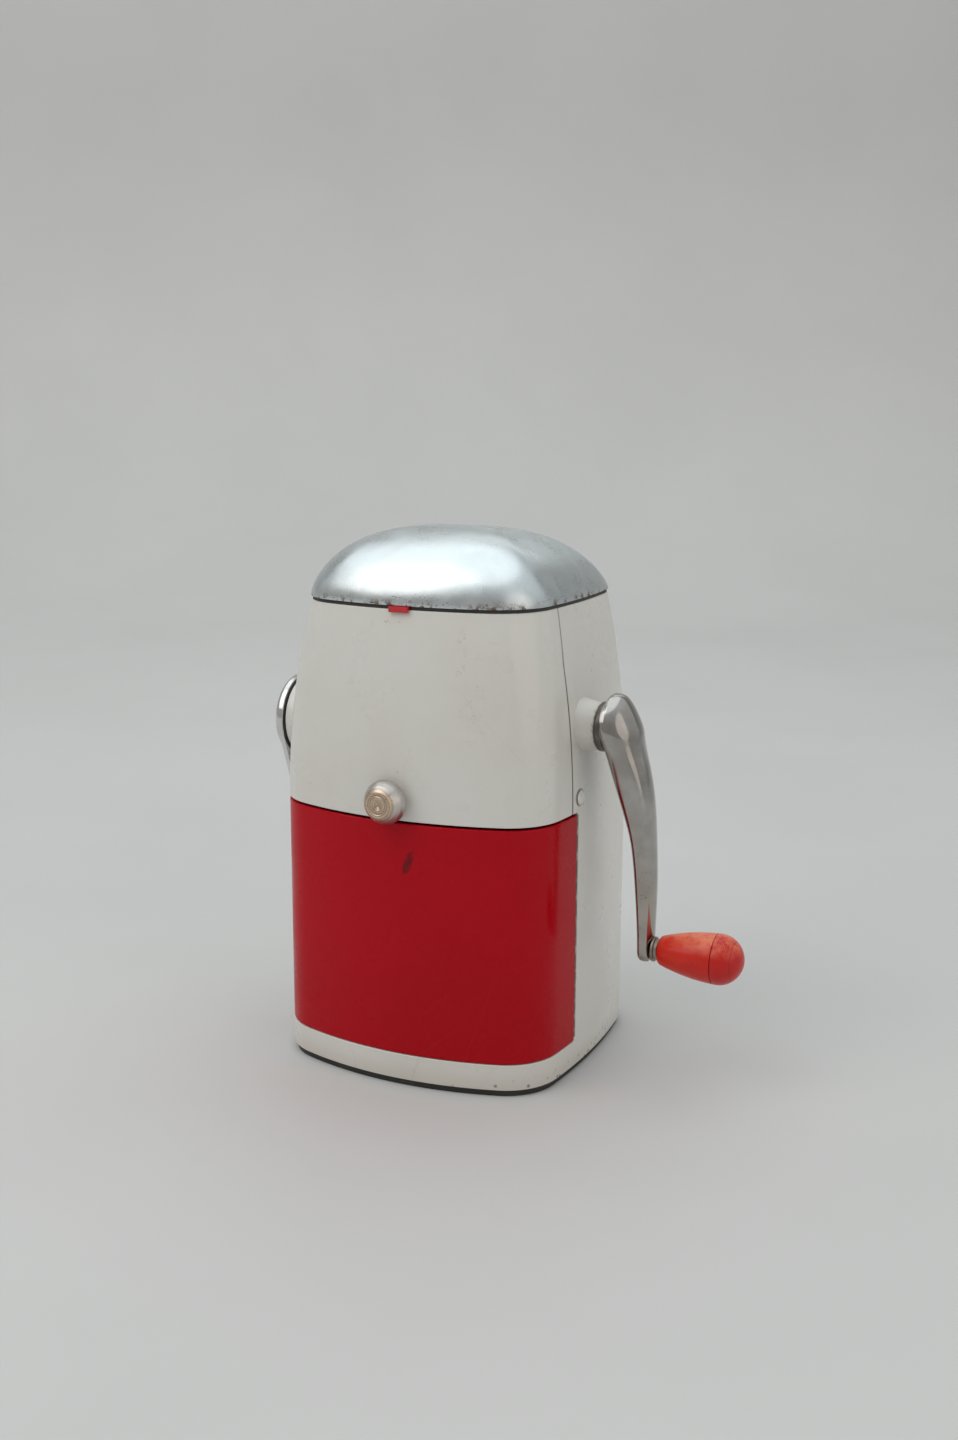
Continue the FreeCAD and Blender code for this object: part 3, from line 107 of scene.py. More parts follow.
def circle_meeting(centre_a, radius_a, centre_b, radius_b, up):
    """Where two circles cross, at the higher or the lower y."""
    gap = centre_b - centre_a
    reach = (radius_a ** 2 - radius_b ** 2 + gap.length ** 2) / (2 * gap.length)
    height = math.sqrt(max(0.0, radius_a ** 2 - reach ** 2))
    unit = gap.normalized()
    normal = Vector((-unit.y, unit.x))
    foot = centre_a + unit * reach
    crossings = [foot + normal * height, foot - normal * height]
    return max(crossings, key=lambda point: point.y if up else -point.y)


def arc_points(centre, radius, start, end, count):
    """Points from start to end round a centre, the short way, without the last."""
    a = math.atan2(start.y - centre.y, start.x - centre.x)
    b = math.atan2(end.y - centre.y, end.x - centre.x)
    turn = (b - a + math.pi) % math.tau - math.pi
    return [Vector((centre.x + radius * math.cos(a + turn * i / count),
                    centre.y + radius * math.sin(a + turn * i / count))) for i in range(count)]


def half_outline(half_width, front, back, bows, corners, split=None, counts=ARC_COUNTS):
    """Right half of the outline from the front's middle to the back's middle."""
    low_bow, flank_bow, high_bow = bows
    low_corner, high_corner = corners
    low_centre = Vector((0, front + low_bow))
    high_centre = Vector((0, back - high_bow))
    flank_centre = Vector((half_width - flank_bow, (front + back) / 2))
    low_turn = circle_meeting(low_centre, low_bow - low_corner,
                              flank_centre, flank_bow - low_corner, False)
    high_turn = circle_meeting(high_centre, high_bow - high_corner,
                               flank_centre, flank_bow - high_corner, True)
    low_start = low_centre + (low_turn - low_centre).normalized() * low_bow
    low_end = flank_centre + (low_turn - flank_centre).normalized() * flank_bow
    high_start = flank_centre + (high_turn - flank_centre).normalized() * flank_bow
    high_end = high_centre + (high_turn - high_centre).normalized() * high_bow
    level = (low_end.y + high_start.y) / 2 if split is None else split
    middle_x = flank_centre.x + math.sqrt(flank_bow ** 2 - (level - flank_centre.y) ** 2)
    middle = Vector((middle_x, level))
    points = arc_points(low_centre, low_bow, Vector((0, front)), low_start, counts[0])
    points += arc_points(low_turn, low_corner, low_start, low_end, counts[1])
    points += arc_points(flank_centre, flank_bow, low_end, middle, counts[2])
    points += arc_points(flank_centre, flank_bow, middle, high_start, counts[3] // 2 + counts[2])
    points += arc_points(high_turn, high_corner, high_start, high_end, counts[3])
    points += arc_points(high_centre, high_bow, high_end, Vector((0, back)), counts[4])
    return points + [Vector((0, back))]


def inset_at(z):
    """How far the walls have drawn in towards the shoulder at a height."""
    radius = ((RIM_Z - SEAM_Z) ** 2 + SHOULDER_INSET ** 2) / (2 * SHOULDER_INSET)
    return radius - math.sqrt(radius ** 2 - max(0.0, z - SEAM_Z) ** 2)


def body_half(z, offset, split):
    """Right half of the body's outline at a height, with a point on the split."""
    drawn = inset_at(z)
    return half_outline(BODY_HALF_WIDTH - drawn - offset, -BODY_HALF_DEPTH + drawn + offset,
                        BODY_HALF_DEPTH - drawn / 2 - offset, [bow - offset for bow in BOWS],
                        [corner - offset for corner in CORNERS], split)


def side_x(y, z):
    return BODY_HALF_WIDTH - inset_at(z) - BOWS[1] + math.sqrt(BOWS[1] ** 2 - y ** 2)


def front_y(z):
    return -BODY_HALF_DEPTH + inset_at(z)


# Past the hub, 8.9, a gap, 0.3, and the ring of the solids, 1.6
SELECTOR_INNER_X = -(side_x(SELECTOR_Y, SELECTOR_Z) + 8.9 + 0.3 + 1.6)


# Mesh building

def new_object(name, verts, faces, body, material, slot, sharp=40.0):
    """Smooth-shaded object from points in millimetres, riding on its body."""
    mesh = bpy.data.meshes.new(name)
    mesh.from_pydata([(x * MM, y * MM, z * MM) for x, y, z in verts], [], faces)
    work = bmesh.new()
    work.from_mesh(mesh)
    bmesh.ops.remove_doubles(work, verts=work.verts, dist=0.00002)
    bmesh.ops.dissolve_degenerate(work, edges=work.edges, dist=0.00001)
    bmesh.ops.recalc_face_normals(work, faces=work.faces)
    work.to_mesh(mesh)
    work.free()
    mesh.shade_smooth()
    mesh.set_sharp_from_angle(angle=math.radians(sharp))
    mesh.materials.append(material)
    obj = bpy.data.objects.new(name, mesh)
    bpy.context.scene.collection.objects.link(obj)
    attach(obj, body)
    return obj


def soften(obj, width, angle=45.0):
    """Rounds the sharp edges a little, so that they catch light."""
    bevel = obj.modifiers.new("edges", "BEVEL")
    bevel.width = width * MM
    bevel.segments = 3
    bevel.limit_method = "ANGLE"
    bevel.angle_limit = math.radians(angle)
    bevel.harden_normals = True


def loft(rings, closed=True, cap_start=False, cap_end=False):
    """Faces between rings that have the same number of points."""
    verts = [point for ring in rings for point in ring]
    count = len(rings[0])
    faces = []
    for row in range(len(rings) - 1):
        for col in range(count if closed else count - 1):
            a = row * count + col
            b = row * count + (col + 1) % count
            faces.append((a, b, b + count, a + count))
    if cap_start:
        faces.append(tuple(range(count)))
    if cap_end:
        faces.append(tuple(range(len(verts) - count, len(verts))))
    return verts, faces


def merged(*meshes):
    verts, faces = [], []
    for more_verts, more_faces in meshes:
        base = len(verts)
        verts += list(more_verts)
        faces += [tuple(index + base for index in face) for face in more_faces]
    return verts, faces


def lathe(profile, centre, axis, steps=96):
    """Turned shape: profile of (along, radius) about an axis through centre."""
    rings = []
    for along, radius in profile:
        ring = []
        for step in range(steps):
            angle = math.tau * step / steps
            point = [centre[0] + radius * math.cos(angle), centre[1] + radius * math.sin(angle)]
            point.insert("xyz".index(axis), along)
            ring.append(tuple(point))
        rings.append(ring)
    return loft(rings)


def rounded(points, radius):
    """Profile with its inner corners rounded by arcs of about the radius."""
    steps = 4
    result = [points[0]]
    for before, corner, after in zip(points[:-2], points[1:-1], points[2:]):
        tip = Vector(corner)
        back = Vector(before) - tip
        ahead = Vector(after) - tip
        reach = min(radius, back.length / 2.05, ahead.length / 2.05)
        if back.length < 1e-6 or ahead.length < 1e-6 or back.angle(-ahead) < 0.15:
            result.append(corner)
            continue
        start = tip + back.normalized() * reach
        end = tip + ahead.normalized() * reach
        for step in range(steps + 1):
            t = step / steps
            result.append(tuple(start * (1 - t) ** 2 + tip * 2 * t * (1 - t) + end * t ** 2))
    return result + [points[-1]]


def bulged(start, end, lift, steps=24):
    """Profile from start to end, lifted outwards in the middle."""
    points = []
    for step in range(steps + 1):
        t = step / steps
        points.append((start[0] + (end[0] - start[0]) * t,
                       start[1] + (end[1] - start[1]) * t + lift * 4 * t * (1 - t)))
    return points


def domed(start, radius, depth, corner, away, steps):
    """Profile of a domed end from its rim to its tip: a corner arc, then a crown."""
    crown = (depth ** 2 - corner ** 2 + (radius - corner) ** 2) / (2 * (depth - corner))
    corner_centre = Vector((start, radius - corner))
    crown_centre = Vector((start + away * (depth - crown), 0.0))
    tip = (start + away * depth, 0.0)
    join = crown_centre + (corner_centre - crown_centre).normalized() * crown
    points = arc_points(corner_centre, corner, Vector((start, radius)), join, steps)
    points += arc_points(crown_centre, crown, join, Vector(tip), steps * 2)
    return [tuple(point) for point in points] + [tip]


# Materials

class Graph:
    """Node graph of one material, in the object's own coordinates, which are in metres."""

    def __init__(self, name, **sockets):
        self.material = bpy.data.materials.new(name)
        self.material.use_nodes = True
        self.tree = self.material.node_tree
        self.shader = self.tree.nodes["Principled BSDF"]
        self.place = self.node("ShaderNodeTexCoord").outputs["Object"]
        for key, value in sockets.items():
            self.shader.inputs[key.replace("_", " ")].default_value = value

    def node(self, kind, **settings):
        made = self.tree.nodes.new(kind)
        for key, value in settings.items():
            setattr(made, key, value)
        return made

    def put(self, socket, value):
        if hasattr(value, "is_output"):
            self.tree.links.new(value, socket)
        else:
            socket.default_value = value

    def stretched(self, scale, turn):
        """Place on turned axes, each squeezed by its scale."""
        made = self.node("ShaderNodeMapping", vector_type="TEXTURE")
        self.put(made.inputs["Vector"], self.place)
        made.inputs["Scale"].default_value = scale
        made.inputs["Rotation"].default_value = turn
        return made.outputs["Vector"]

    def noise(self, scale, detail, roughness=0.55, distortion=0.0):
        made = self.node("ShaderNodeTexNoise")
        self.put(made.inputs["Vector"], self.place)
        made.inputs["Scale"].default_value = scale
        made.inputs["Detail"].default_value = detail
        made.inputs["Roughness"].default_value = roughness
        made.inputs["Distortion"].default_value = distortion
        return made.outputs["Fac"]

    def cells(self, scale, feature="F1", vector=None):
        made = self.node("ShaderNodeTexVoronoi", feature=feature)
        self.put(made.inputs["Vector"], vector or self.place)
        made.inputs["Scale"].default_value = scale
        return made.outputs["Distance"]

    def axes(self):
        split = self.node("ShaderNodeSeparateXYZ")
        self.put(split.inputs[0], self.place)
        return [split.outputs[letter] for letter in "XYZ"]

    def math(self, operation, a, b=0.0, c=0.0):
        made = self.node("ShaderNodeMath", operation=operation)
        for socket, value in zip(made.inputs, (a, b, c)):
            self.put(socket, value)
        return made.outputs[0]

    def times(self, first, *others):
        for other in others:
            first = self.math("MULTIPLY", first, other)
        return first

    def most(self, first, *others):
        for other in others:
            first = self.math("MAXIMUM", first, other)
        return first

    def apart(self, value, centre):
        return self.math("ABSOLUTE", self.math("SUBTRACT", value, centre))

    def span(self, value, low, high, to_low=0.0, to_high=1.0, smooth=True):
        """Value eased from one range to another, and held at its ends."""
        kind = "SMOOTHSTEP" if smooth else "LINEAR"
        made = self.node("ShaderNodeMapRange", interpolation_type=kind)
        for socket, item in zip(made.inputs, (value, low, high, to_low, to_high)):
            self.put(socket, item)
        return made.outputs["Result"]

    def mix(self, factor, a, b):
        made = self.node("ShaderNodeMix", data_type="RGBA")
        self.put(made.inputs["Factor"], factor)
        self.put(made.inputs["A"], a if hasattr(a, "is_output") else (*a, 1.0))
        self.put(made.inputs["B"], b if hasattr(b, "is_output") else (*b, 1.0))
        return made.outputs["Result"]

    def mottled(self, light, dark, noise, low=0.35, high=0.7):
        """Tone that wanders between two colours."""
        return self.mix(self.span(noise, low, high), light, dark)

    def sheen(self, noise, low, high):
        """Roughness that wanders between two values."""
        return self.span(noise, 0.3, 0.75, low, high)

    def bump(self, height, distance, strength, under=None):
        made = self.node("ShaderNodeBump")
        made.inputs["Strength"].default_value = strength
        made.inputs["Distance"].default_value = distance
        self.put(made.inputs["Height"], height)
        if under is not None:
            self.put(made.inputs["Normal"], under)
        return made.outputs["Normal"]

    def dents(self, mask, distance, strength, under):
        return self.bump(self.math("MULTIPLY", mask, -1.0), distance, strength, under)

    def finish(self, tone, rough, normal):
        for socket, value in (("Base Color", tone), ("Roughness", rough), ("Normal", normal)):
            self.put(self.shader.inputs[socket], value)
        return self.material

    def scratches(self, scale, turn, width, length=14.0):
        """Mask of thin lines: the edges of flat cells that stand across the turned axes."""
        edge = self.cells(scale, "DISTANCE_TO_EDGE", self.stretched((1.0, length, length), turn))
        line = self.span(edge, 0.0, width, 1.0, 0.0)
        return self.times(line, self.span(self.noise(scale * 0.12, 2.0), 0.5, 0.62))

    def spot(self, across, up, at, height, wide, tall, core=0.35):
        """Soft ellipse round a place, on two of the object's axes."""
        a = self.math("DIVIDE", self.math("SUBTRACT", across, at), wide)
        b = self.math("DIVIDE", self.math("SUBTRACT", up, height), tall)
        return self.span(self.math("ADD", self.times(a, a), self.times(b, b)), 1.0, core)

    def disc(self, centre_y, centre_z, radius, core):
        """Round spot seen from the side, its centre in millimetres."""
        y, z = self.axes()[1:]
        return self.spot(y, z, centre_y * MM, centre_z * MM, radius, radius, core)

    def specks(self, scale, size, cover):
        """Mask of small round spots in patches."""
        dot = self.span(self.cells(scale), size * 0.6, size, 1.0, 0.0)
        return self.times(dot, self.span(self.noise(scale * 0.09, 3.0), cover, cover + 0.06))


FRONT_BLOTS = (  # across, height, half width, half height, depth of the mark
    (0.0295, 0.1955, 0.003, 0.014, 0.30), (-0.029, 0.204, 0.003, 0.003, 0.5),
    (0.001, 0.1445, 0.0035, 0.002, 0.8), (0.043, 0.1405, 0.0012, 0.001, 0.9),
    (-0.004, 0.2085, 0.006, 0.001, 0.8), (0.036, 0.172, 0.008, 0.02, 0.20))


def enamel_wear(g, x, y, z):
    """Mask of scratches, specks, chips at the base and blots on the front."""
    scratch = g.most(g.scratches(95.0, (0.2, 0.6, 0.8), 0.010),
                     g.scratches(120.0, (1.2, -0.45, 1.0), 0.008))
    chips = g.times(g.specks(230.0, 0.22, 0.52), g.span(z, 0.0095, 0.0045))
    speck = g.most(g.specks(330.0, 0.13, 0.66), chips)
    marks = g.most(g.times(scratch, 0.07), g.times(speck, 0.70))
    front = g.span(y, -0.045, -0.052)
    grains = g.times(g.span(g.cells(1500.0), 0.42, 0.26), g.span(g.noise(260.0, 3.0), 0.50, 0.60))
    for across, height, wide, tall, depth in FRONT_BLOTS:
        blot = g.times(g.spot(x, z, across, height, wide, tall), front, grains, depth)
        marks = g.most(marks, blot)
    return marks


def painted_seam_shade(g, x, y, z):
    """Mask of the painted shade: dark lines in the gaps beside the cover and beside the bin."""
    slope = (COVER_SEAM_TOP_Y - COVER_SEAM_Y) / (RIM_Z - COVER_SEAM_BEND_Z)
    rise = g.most(g.math("SUBTRACT", z, COVER_SEAM_BEND_Z * MM), 0.0)
    seam = g.math("ADD", g.times(rise, slope), (COVER_SEAM_Y - 0.25) * MM)
    upper = g.times(g.span(z, 0.1222, 0.1226, smooth=False), g.span(z, 0.214, 0.165, 0.45, 0.9))
    gap = g.times(g.span(g.apart(y, seam), 0.0008, 0.0003), upper,
                  g.span(g.math("ABSOLUTE", x), 0.0706, 0.0702))
    lower = g.times(g.span(z, 0.1224, 0.1220), g.span(z, 0.0165, 0.0175))
    edge = g.times(g.span(g.apart(y, BIN_SEAM_Y * MM), 0.0011, 0.0005), lower,
                   g.span(g.noise(160.0, 4.0), 0.35, 0.55, 0.5, 0.9))
    return g.most(gap, edge)


def enamel_material():
    g = Graph("enamel_white", Coat_Weight=0.6, Coat_Roughness=0.12, Specular_IOR_Level=0.4)
    x, y, z = g.axes()
    tone = g.mottled((0.72, 0.705, 0.66), (0.685, 0.665, 0.61), g.noise(14.0, 5.0, 0.6), high=0.68)
    stain = g.span(g.noise(38.0, 6.0, 0.65, 0.6), 0.62, 0.80)
    # Stains in patches, and the base darkened in brown towards the bottom
    stains_and_darker_bottom = g.most(g.times(stain, 0.05), g.times(g.span(z, 0.013, 0.002), 0.30))
    marks = enamel_wear(g, x, y, z)
    boss = g.times(g.disc(CRANK_Y, CRANK_Z, 0.0112, 0.95), g.span(x, 0.0735, 0.0747),
                   g.span(g.noise(420.0, 6.0, 0.7), 0.50, 0.62))
    # Painted shade: a dark ring round the rivet's rim
    ring = g.math("SUBTRACT", g.disc(RIVET_Y, RIVET_Z, 0.0046, 0.6),
                  g.disc(RIVET_Y, RIVET_Z, 0.0034, 0.85))
    # Painted highlight: the rivet's head is lightened
    head = g.disc(RIVET_Y, RIVET_Z, 0.0033, 0.9)
    for mask, colour in ((stains_and_darker_bottom, (0.42, 0.34, 0.25)),
                         # Painted shade in the seams beside the cover and beside the bin
                         (painted_seam_shade(g, x, y, z), (0.11, 0.08, 0.06)),
                         (g.times(boss, 0.6), (0.36, 0.27, 0.16)),
                         # Painted shade round the rivet's rim
                         (g.times(g.most(ring, 0.0), 0.8), (0.20, 0.16, 0.12)),
                         # Painted highlight on the rivet's head
                         (g.times(head, 0.7), (0.83, 0.83, 0.81)),
                         (marks, (0.085, 0.065, 0.05))):
        tone = g.mix(mask, tone, colour)
    ripple = g.bump(g.noise(42.0, 2.0), 0.00025, 0.5)
    fine = g.dents(g.most(marks, boss), 0.00008, 0.6, ripple)
    return g.finish(tone, g.sheen(g.noise(60.0, 4.0), 0.26, 0.42), fine)


def bin_material():
    g = Graph("bin_crimson", Coat_Weight=0.18, Coat_Roughness=0.08, Specular_IOR_Level=0.06)
    x, y, z = g.axes()
    base = g.mottled((0.46, 0.0004, 0.008), (0.41, 0.0003, 0.006), g.noise(9.0, 4.0))
    scratch = g.most(g.scratches(80.0, (0.3, 0.5, 0.7), 0.008),
                     g.scratches(110.0, (0.1, -0.6, 0.9), 0.007))
    haze = g.span(g.noise(55.0, 7.0, 0.7), 0.60, 0.80)
    tone = g.mix(g.most(g.times(scratch, 0.08), g.times(haze, 0.03)), base, (0.55, 0.06, 0.07))
    leaning = g.math("MULTIPLY_ADD", z, -0.35, x)
    scuff = g.times(g.spot(leaning, z, -0.0281, 0.1045, 0.0025, 0.0068, 0.3),
                    g.span(g.noise(520.0, 5.0, 0.7, 0.3), 0.34, 0.56), g.span(y, -0.055, -0.060))
    dirt = g.most(g.times(g.specks(260.0, 0.15, 0.62), 0.5), g.times(scuff, 0.7))
    tone = g.mix(dirt, tone, (0.055, 0.010, 0.012))
    ripple = g.bump(g.noise(30.0, 2.0), 0.0004, 0.5)
    fine = g.dents(g.most(scratch, dirt), 0.00004, 0.6, ripple)
    return g.finish(tone, g.sheen(g.noise(48.0, 5.0), 0.22, 0.38), fine)


def lid_material():
    g = Graph("lid_chrome", Metallic=1.0)
    z = g.axes()[2]
    height = g.span(z, 0.2155, 0.236, 0.0, 1.0, False)
    cloud = g.noise(24.0, 6.0, 0.62, 0.5)
    base = g.mottled((0.72, 0.785, 0.80), (0.645, 0.70, 0.712), cloud, 0.38, 0.70)
    dull = g.times(g.span(height, 0.55, 0.02),
                   g.span(g.noise(70.0, 5.0, 0.6), 0.35, 0.65, 0.35, 1.0))
    base = g.mix(g.times(dull, 0.42), base, (0.46, 0.475, 0.465))
    pits = g.times(g.span(g.cells(620.0), 0.34, 0.14),
                   g.span(g.noise(62.0, 4.0, 0.6), 0.47, 0.57), g.span(height, 0.34, 0.03))
    rust = g.times(g.span(g.noise(150.0, 6.0, 0.7), 0.50, 0.59), g.span(height, 0.17, 0.03))
    fleck = g.specks(700.0, 0.13, 0.58)
    tone = g.mix(g.times(g.most(pits, g.times(fleck, 0.22)), 0.8), base, (0.16, 0.12, 0.09))
    tone = g.mix(g.times(rust, 0.85), tone, (0.17, 0.08, 0.04))
    scratch = g.most(g.scratches(170.0, (0.4, 0.6, 0.9), 0.008, 12.0),
                     g.scratches(140.0, (0.1, -0.5, 0.7), 0.008, 12.0))
    worn = g.most(pits, rust)
    rough = g.math("ADD", g.sheen(g.noise(85.0, 6.0, 0.65), 0.25, 0.38), g.times(scratch, 0.10))
    rough = g.most(rough, g.times(worn, 0.65))
    waves = g.bump(g.noise(19.0, 1.5, 0.4), 0.0012, 0.6)
    fine = g.dents(g.most(g.times(scratch, 0.12), worn), 0.00008, 0.7, waves)
    return g.finish(tone, rough, fine)


def crank_material():
    g = Graph("crank_chrome", Metallic=1.0)
    z = g.axes()[2]
    base = g.mottled((0.46, 0.445, 0.425), (0.35, 0.33, 0.305), g.noise(60.0, 5.0))
    down = g.span(z, 0.125, 0.075)
    pits = g.times(g.span(g.cells(800.0), 0.26, 0.10), g.span(g.noise(120.0, 4.0), 0.45, 0.58),
                   g.math("ADD", g.times(down, 0.8), 0.12))
    tone = g.mix(g.times(down, 0.35), base, (0.40, 0.33, 0.27))
    tone = g.mix(pits, tone, (0.10, 0.085, 0.075))
    scratch = g.scratches(240.0, (0.2, 0.7, 0.8), 0.010, 9.0)
    worn = g.times(g.most(g.times(scratch, 0.3), pits), 0.30)
    rough = g.math("ADD", g.sheen(g.noise(140.0, 5.0), 0.11, 0.19), worn)
    waves = g.bump(g.noise(55.0, 2.0), 0.00012, 0.4)
    return g.finish(tone, rough, g.dents(pits, 0.00006, 0.7, waves))


def turned_material(name, centre, letters, light, dark, low_rough, high_rough, pitch, face=None):
    """Turned metal: fine rings round an axis, with uneven tarnish.

    The pitch is in rings per metre. The face is the span of y over which a flat end goes tan.
    """
    g = Graph(name, Metallic=1.0, Anisotropic=0.3)
    along = dict(zip("XYZ", g.axes()))
    a, b = (g.math("SUBTRACT", along[letter], at * MM) for letter, at in zip(letters, centre))
    radius = g.math("SQRT", g.math("ADD", g.times(a, a), g.times(b, b)))
    ring = g.math("SINE", g.times(radius, pitch * math.tau))
    uneven = g.noise(90.0, 5.0, 0.6)
    tone = g.mottled(light, dark, uneven)
    if face is not None:
        tan = g.mix(g.span(ring, -0.4, 0.9), (0.62, 0.49, 0.37), (0.47, 0.355, 0.26))
        tone = g.mix(g.span(along["Y"], *face), tone, tan)
    tone = g.mix(g.times(g.specks(700.0, 0.22, 0.52), 0.6), tone, (0.12, 0.10, 0.085))
    rings = g.bump(ring, 0.00005, 0.4)
    fine = g.bump(g.noise(900.0, 3.0), 0.00004, 0.3, rings)
    return g.finish(tone, g.sheen(uneven, low_rough, high_rough), fine)


def grip_material():
    g = Graph("grip_orange_red", Coat_Weight=0.30, Coat_Roughness=0.14, Specular_IOR_Level=0.20)
    x, _, z = g.axes()
    base = g.mottled((0.66, 0.024, 0.010), (0.58, 0.014, 0.008), g.noise(45.0, 4.0))
    # Painted sheen: the grip's top is lighter orange, in patches
    top = g.times(g.span(z, 0.0635, 0.0730), g.span(g.noise(85.0, 6.0, 0.7), 0.34, 0.58))
    groove = g.span(g.apart(x, 0.1395), 0.00028, 0.00008)
    tone = g.mix(g.span(x, 0.129, 0.133), base, (0.54, 0.012, 0.009))
    # The lighter orange on the top is the painted sheen
    for mask, depth, colour in ((top, 0.8, (0.86, 0.27, 0.14)),
                                (g.scratches(260.0, (0.1, 0.6, 0.8), 0.012, 8.0), 0.2,
                                 (0.80, 0.38, 0.28)),
                                (g.specks(620.0, 0.18, 0.58), 0.6, (0.10, 0.01, 0.01)),
                                (groove, 0.45, (0.22, 0.006, 0.008))):
        tone = g.mix(g.times(mask, depth), tone, colour)
    return g.finish(tone, g.sheen(g.noise(120.0, 5.0), 0.30, 0.46),
                    g.bump(g.noise(160.0, 4.0), 0.00012, 0.5))


def tab_material():
    g = Graph("tab_red", Coat_Weight=0.4, Coat_Roughness=0.15)
    tone = g.mottled((0.60, 0.012, 0.018), (0.45, 0.008, 0.012), g.noise(300.0, 4.0))
    return g.finish(tone, g.span(g.noise(500.0, 4.0), 0.3, 0.7, 0.25, 0.40),
                    g.bump(g.noise(700.0, 3.0), 0.00006, 0.4))


def rubber_material():
    g = Graph("rubber_black")
    dust = g.span(g.noise(120.0, 6.0, 0.7), 0.45, 0.75)
    tone = g.mix(g.times(dust, 0.5), (0.022, 0.021, 0.020), (0.085, 0.078, 0.070))
    return g.finish(tone, g.span(dust, 0.0, 1.0, 0.55, 0.80),
                    g.bump(g.noise(1400.0, 4.0), 0.00010, 0.5))


def metal_material(name, light, dark, rough, grain, grain_depth, spots):
    """Plain metal; the grain is the scale and the depth of its texture."""
    g = Graph(name, Metallic=1.0)
    tone = g.mottled(light, dark, g.noise(70.0, 5.0, 0.6))
    tone = g.mix(g.times(g.specks(420.0, 0.24, 0.50), spots), tone, (0.14, 0.095, 0.06))
    return g.finish(tone, g.sheen(g.noise(160.0, 4.0), *rough),
                    g.bump(g.noise(grain, 4.0), grain_depth, 0.6))


enamel = enamel_material()
crimson = bin_material()
lid_chrome = lid_material()
crank_chrome = crank_material()
cap_chrome = turned_material("cap_chrome", (SELECTOR_Y, SELECTOR_Z), "YZ", (0.72, 0.72, 0.71),
                             (0.60, 0.59, 0.57), 0.10, 0.22, 700.0)
knob_metal = turned_material("knob_metal", (0.0, KNOB_Z), "XZ", (0.62, 0.60, 0.57),
                             (0.48, 0.45, 0.42), 0.30, 0.42, 900.0, (-0.0762, -0.0774))
grip_red = grip_material()
tab_red = tab_material()
rubber = rubber_material()
steel = metal_material("steel_turned", (0.60, 0.60, 0.59), (0.48, 0.47, 0.46),
                       (0.22, 0.38), 900.0, 0.00005, 0.4)
worn_steel = metal_material("steel_tarnished", (0.34, 0.30, 0.26), (0.17, 0.14, 0.115),
                            (0.28, 0.5), 800.0, 0.00007, 0.6)
dark_steel = metal_material("steel_dark", (0.20, 0.185, 0.17), (0.10, 0.09, 0.08),
                            (0.30, 0.50), 800.0, 0.00008, 0.6)
cast_metal = metal_material("hopper_cast", (0.62, 0.62, 0.61), (0.50, 0.50, 0.49),
                            (0.34, 0.50), 620.0, 0.00018, 0.3)
cutter_metal = metal_material("cutter_cast", (0.50, 0.50, 0.49), (0.36, 0.35, 0.34),
                              (0.32, 0.52), 480.0, 0.00025, 0.6)
brass = metal_material("bearing_brass", (0.68, 0.50, 0.24), (0.50, 0.36, 0.17),
                       (0.25, 0.42), 900.0, 0.00005, 0.4)

# Every solid gets its material, also those that a finer mesh replaces below
carried = (
    (enamel, ("rear_housing", "front_cover", "cover_rivets")),
    (rubber, ("base_pad", "lid_gasket", "selector_ring")),
    (cast_metal, ("hopper",)),
    (cutter_metal, ("breaker_comb", "rotor", "gate_plate")),
    (brass, ("rotor_bush_left", "rotor_bush_right", "crank_bush", "selector_bush")),
    (steel, ("hopper_screws", "comb_screws", "hinge_pin", "lid_hinge_leaf", "lid_rivets",
             "crank_shaft", "rotor_pin", "grip_spindle", "grip_ferrule", "selector_shaft",
             "gate_rod", "gate_lever", "latch_washer", "latch_stem", "latch_tongue", "latch_nut")),
    (dark_steel, ("crank_collar", "crank_set_screw", "shaft_clip")),
    (lid_chrome, ("lid_shell",)),
    (tab_red, ("lid_tab",)),
    (crank_chrome, ("crank_arm",)),
    (grip_red, ("grip_body", "grip_cap")),
    (cap_chrome, ("selector_cap",)),
    (crimson, ("ice_bin",)),
    (knob_metal, ("latch_knob",)),
)
for material, names in carried:
    for name in names:
        mesh = nodes[name].data
        mesh.materials.clear()
        mesh.materials.append(material)


# Lid

def lid_ring(angle, skin):
    """Ring of the dome at an angle from its edge, 0, to its crown, a quarter turn."""
    climb = math.sin(angle) ** (2 / 1.44)
    share = max(0.02, math.cos(angle)) ** (2 / 3)
    half_width = (BODY_HALF_WIDTH - SHOULDER_INSET + LID_OVERHANG - skin) * share
    front = front_y(RIM_Z) - LID_OVERHANG
    back = BODY_HALF_DEPTH - SHOULDER_INSET / 2 + LID_OVERHANG
    base_depth = (back - front) / 2
    half_depth = (base_depth - skin) * share ** 1.27
    centre_y = (front + back) / 2 + LID_CREST_SHIFT * climb
    corner_share = (1 + 0.28 * (1 - share)) * half_depth / base_depth
    right = half_outline(half_width, centre_y - half_depth, centre_y + half_depth,
                         [(bow - skin) * share for bow in BOWS],
                         [(corner - skin) * corner_share for corner in CORNERS])
    height = LID_BASE_Z + (LID_HEIGHT - skin) * climb
    return closed_ring([(p.x, p.y) for p in right], height)


def closed_ring(right, z):
    """Level ring: the right half of an outline, then its mirror image back to the front."""
    return [(x, y, z) for x, y in right] + [(-x, y, z) for x, y in reversed(right[1:-1])]


def lid_mesh():
    steps = 44
    outer, inner = ([lid_ring(math.pi / 2 * step / steps, skin) for step in range(steps)]
                    for skin in (0.0, LID_WALL))
    return loft(outer[::-1] + inner, True, True, True)


lid = new_object("lid_dome", *lid_mesh(), "lid", lid_chrome, "lid_chrome")
soften(lid, 0.35, 50.0)
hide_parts("lid_shell")


# Shells of the body

def levels(low, high, count):
    return [low + (high - low) * i / count for i in range(count + 1)]


UPPER_LEVELS = levels(SEAM_Z, COVER_SEAM_BEND_Z, 10) + levels(COVER_SEAM_BEND_Z, RIM_Z, 5)[1:]


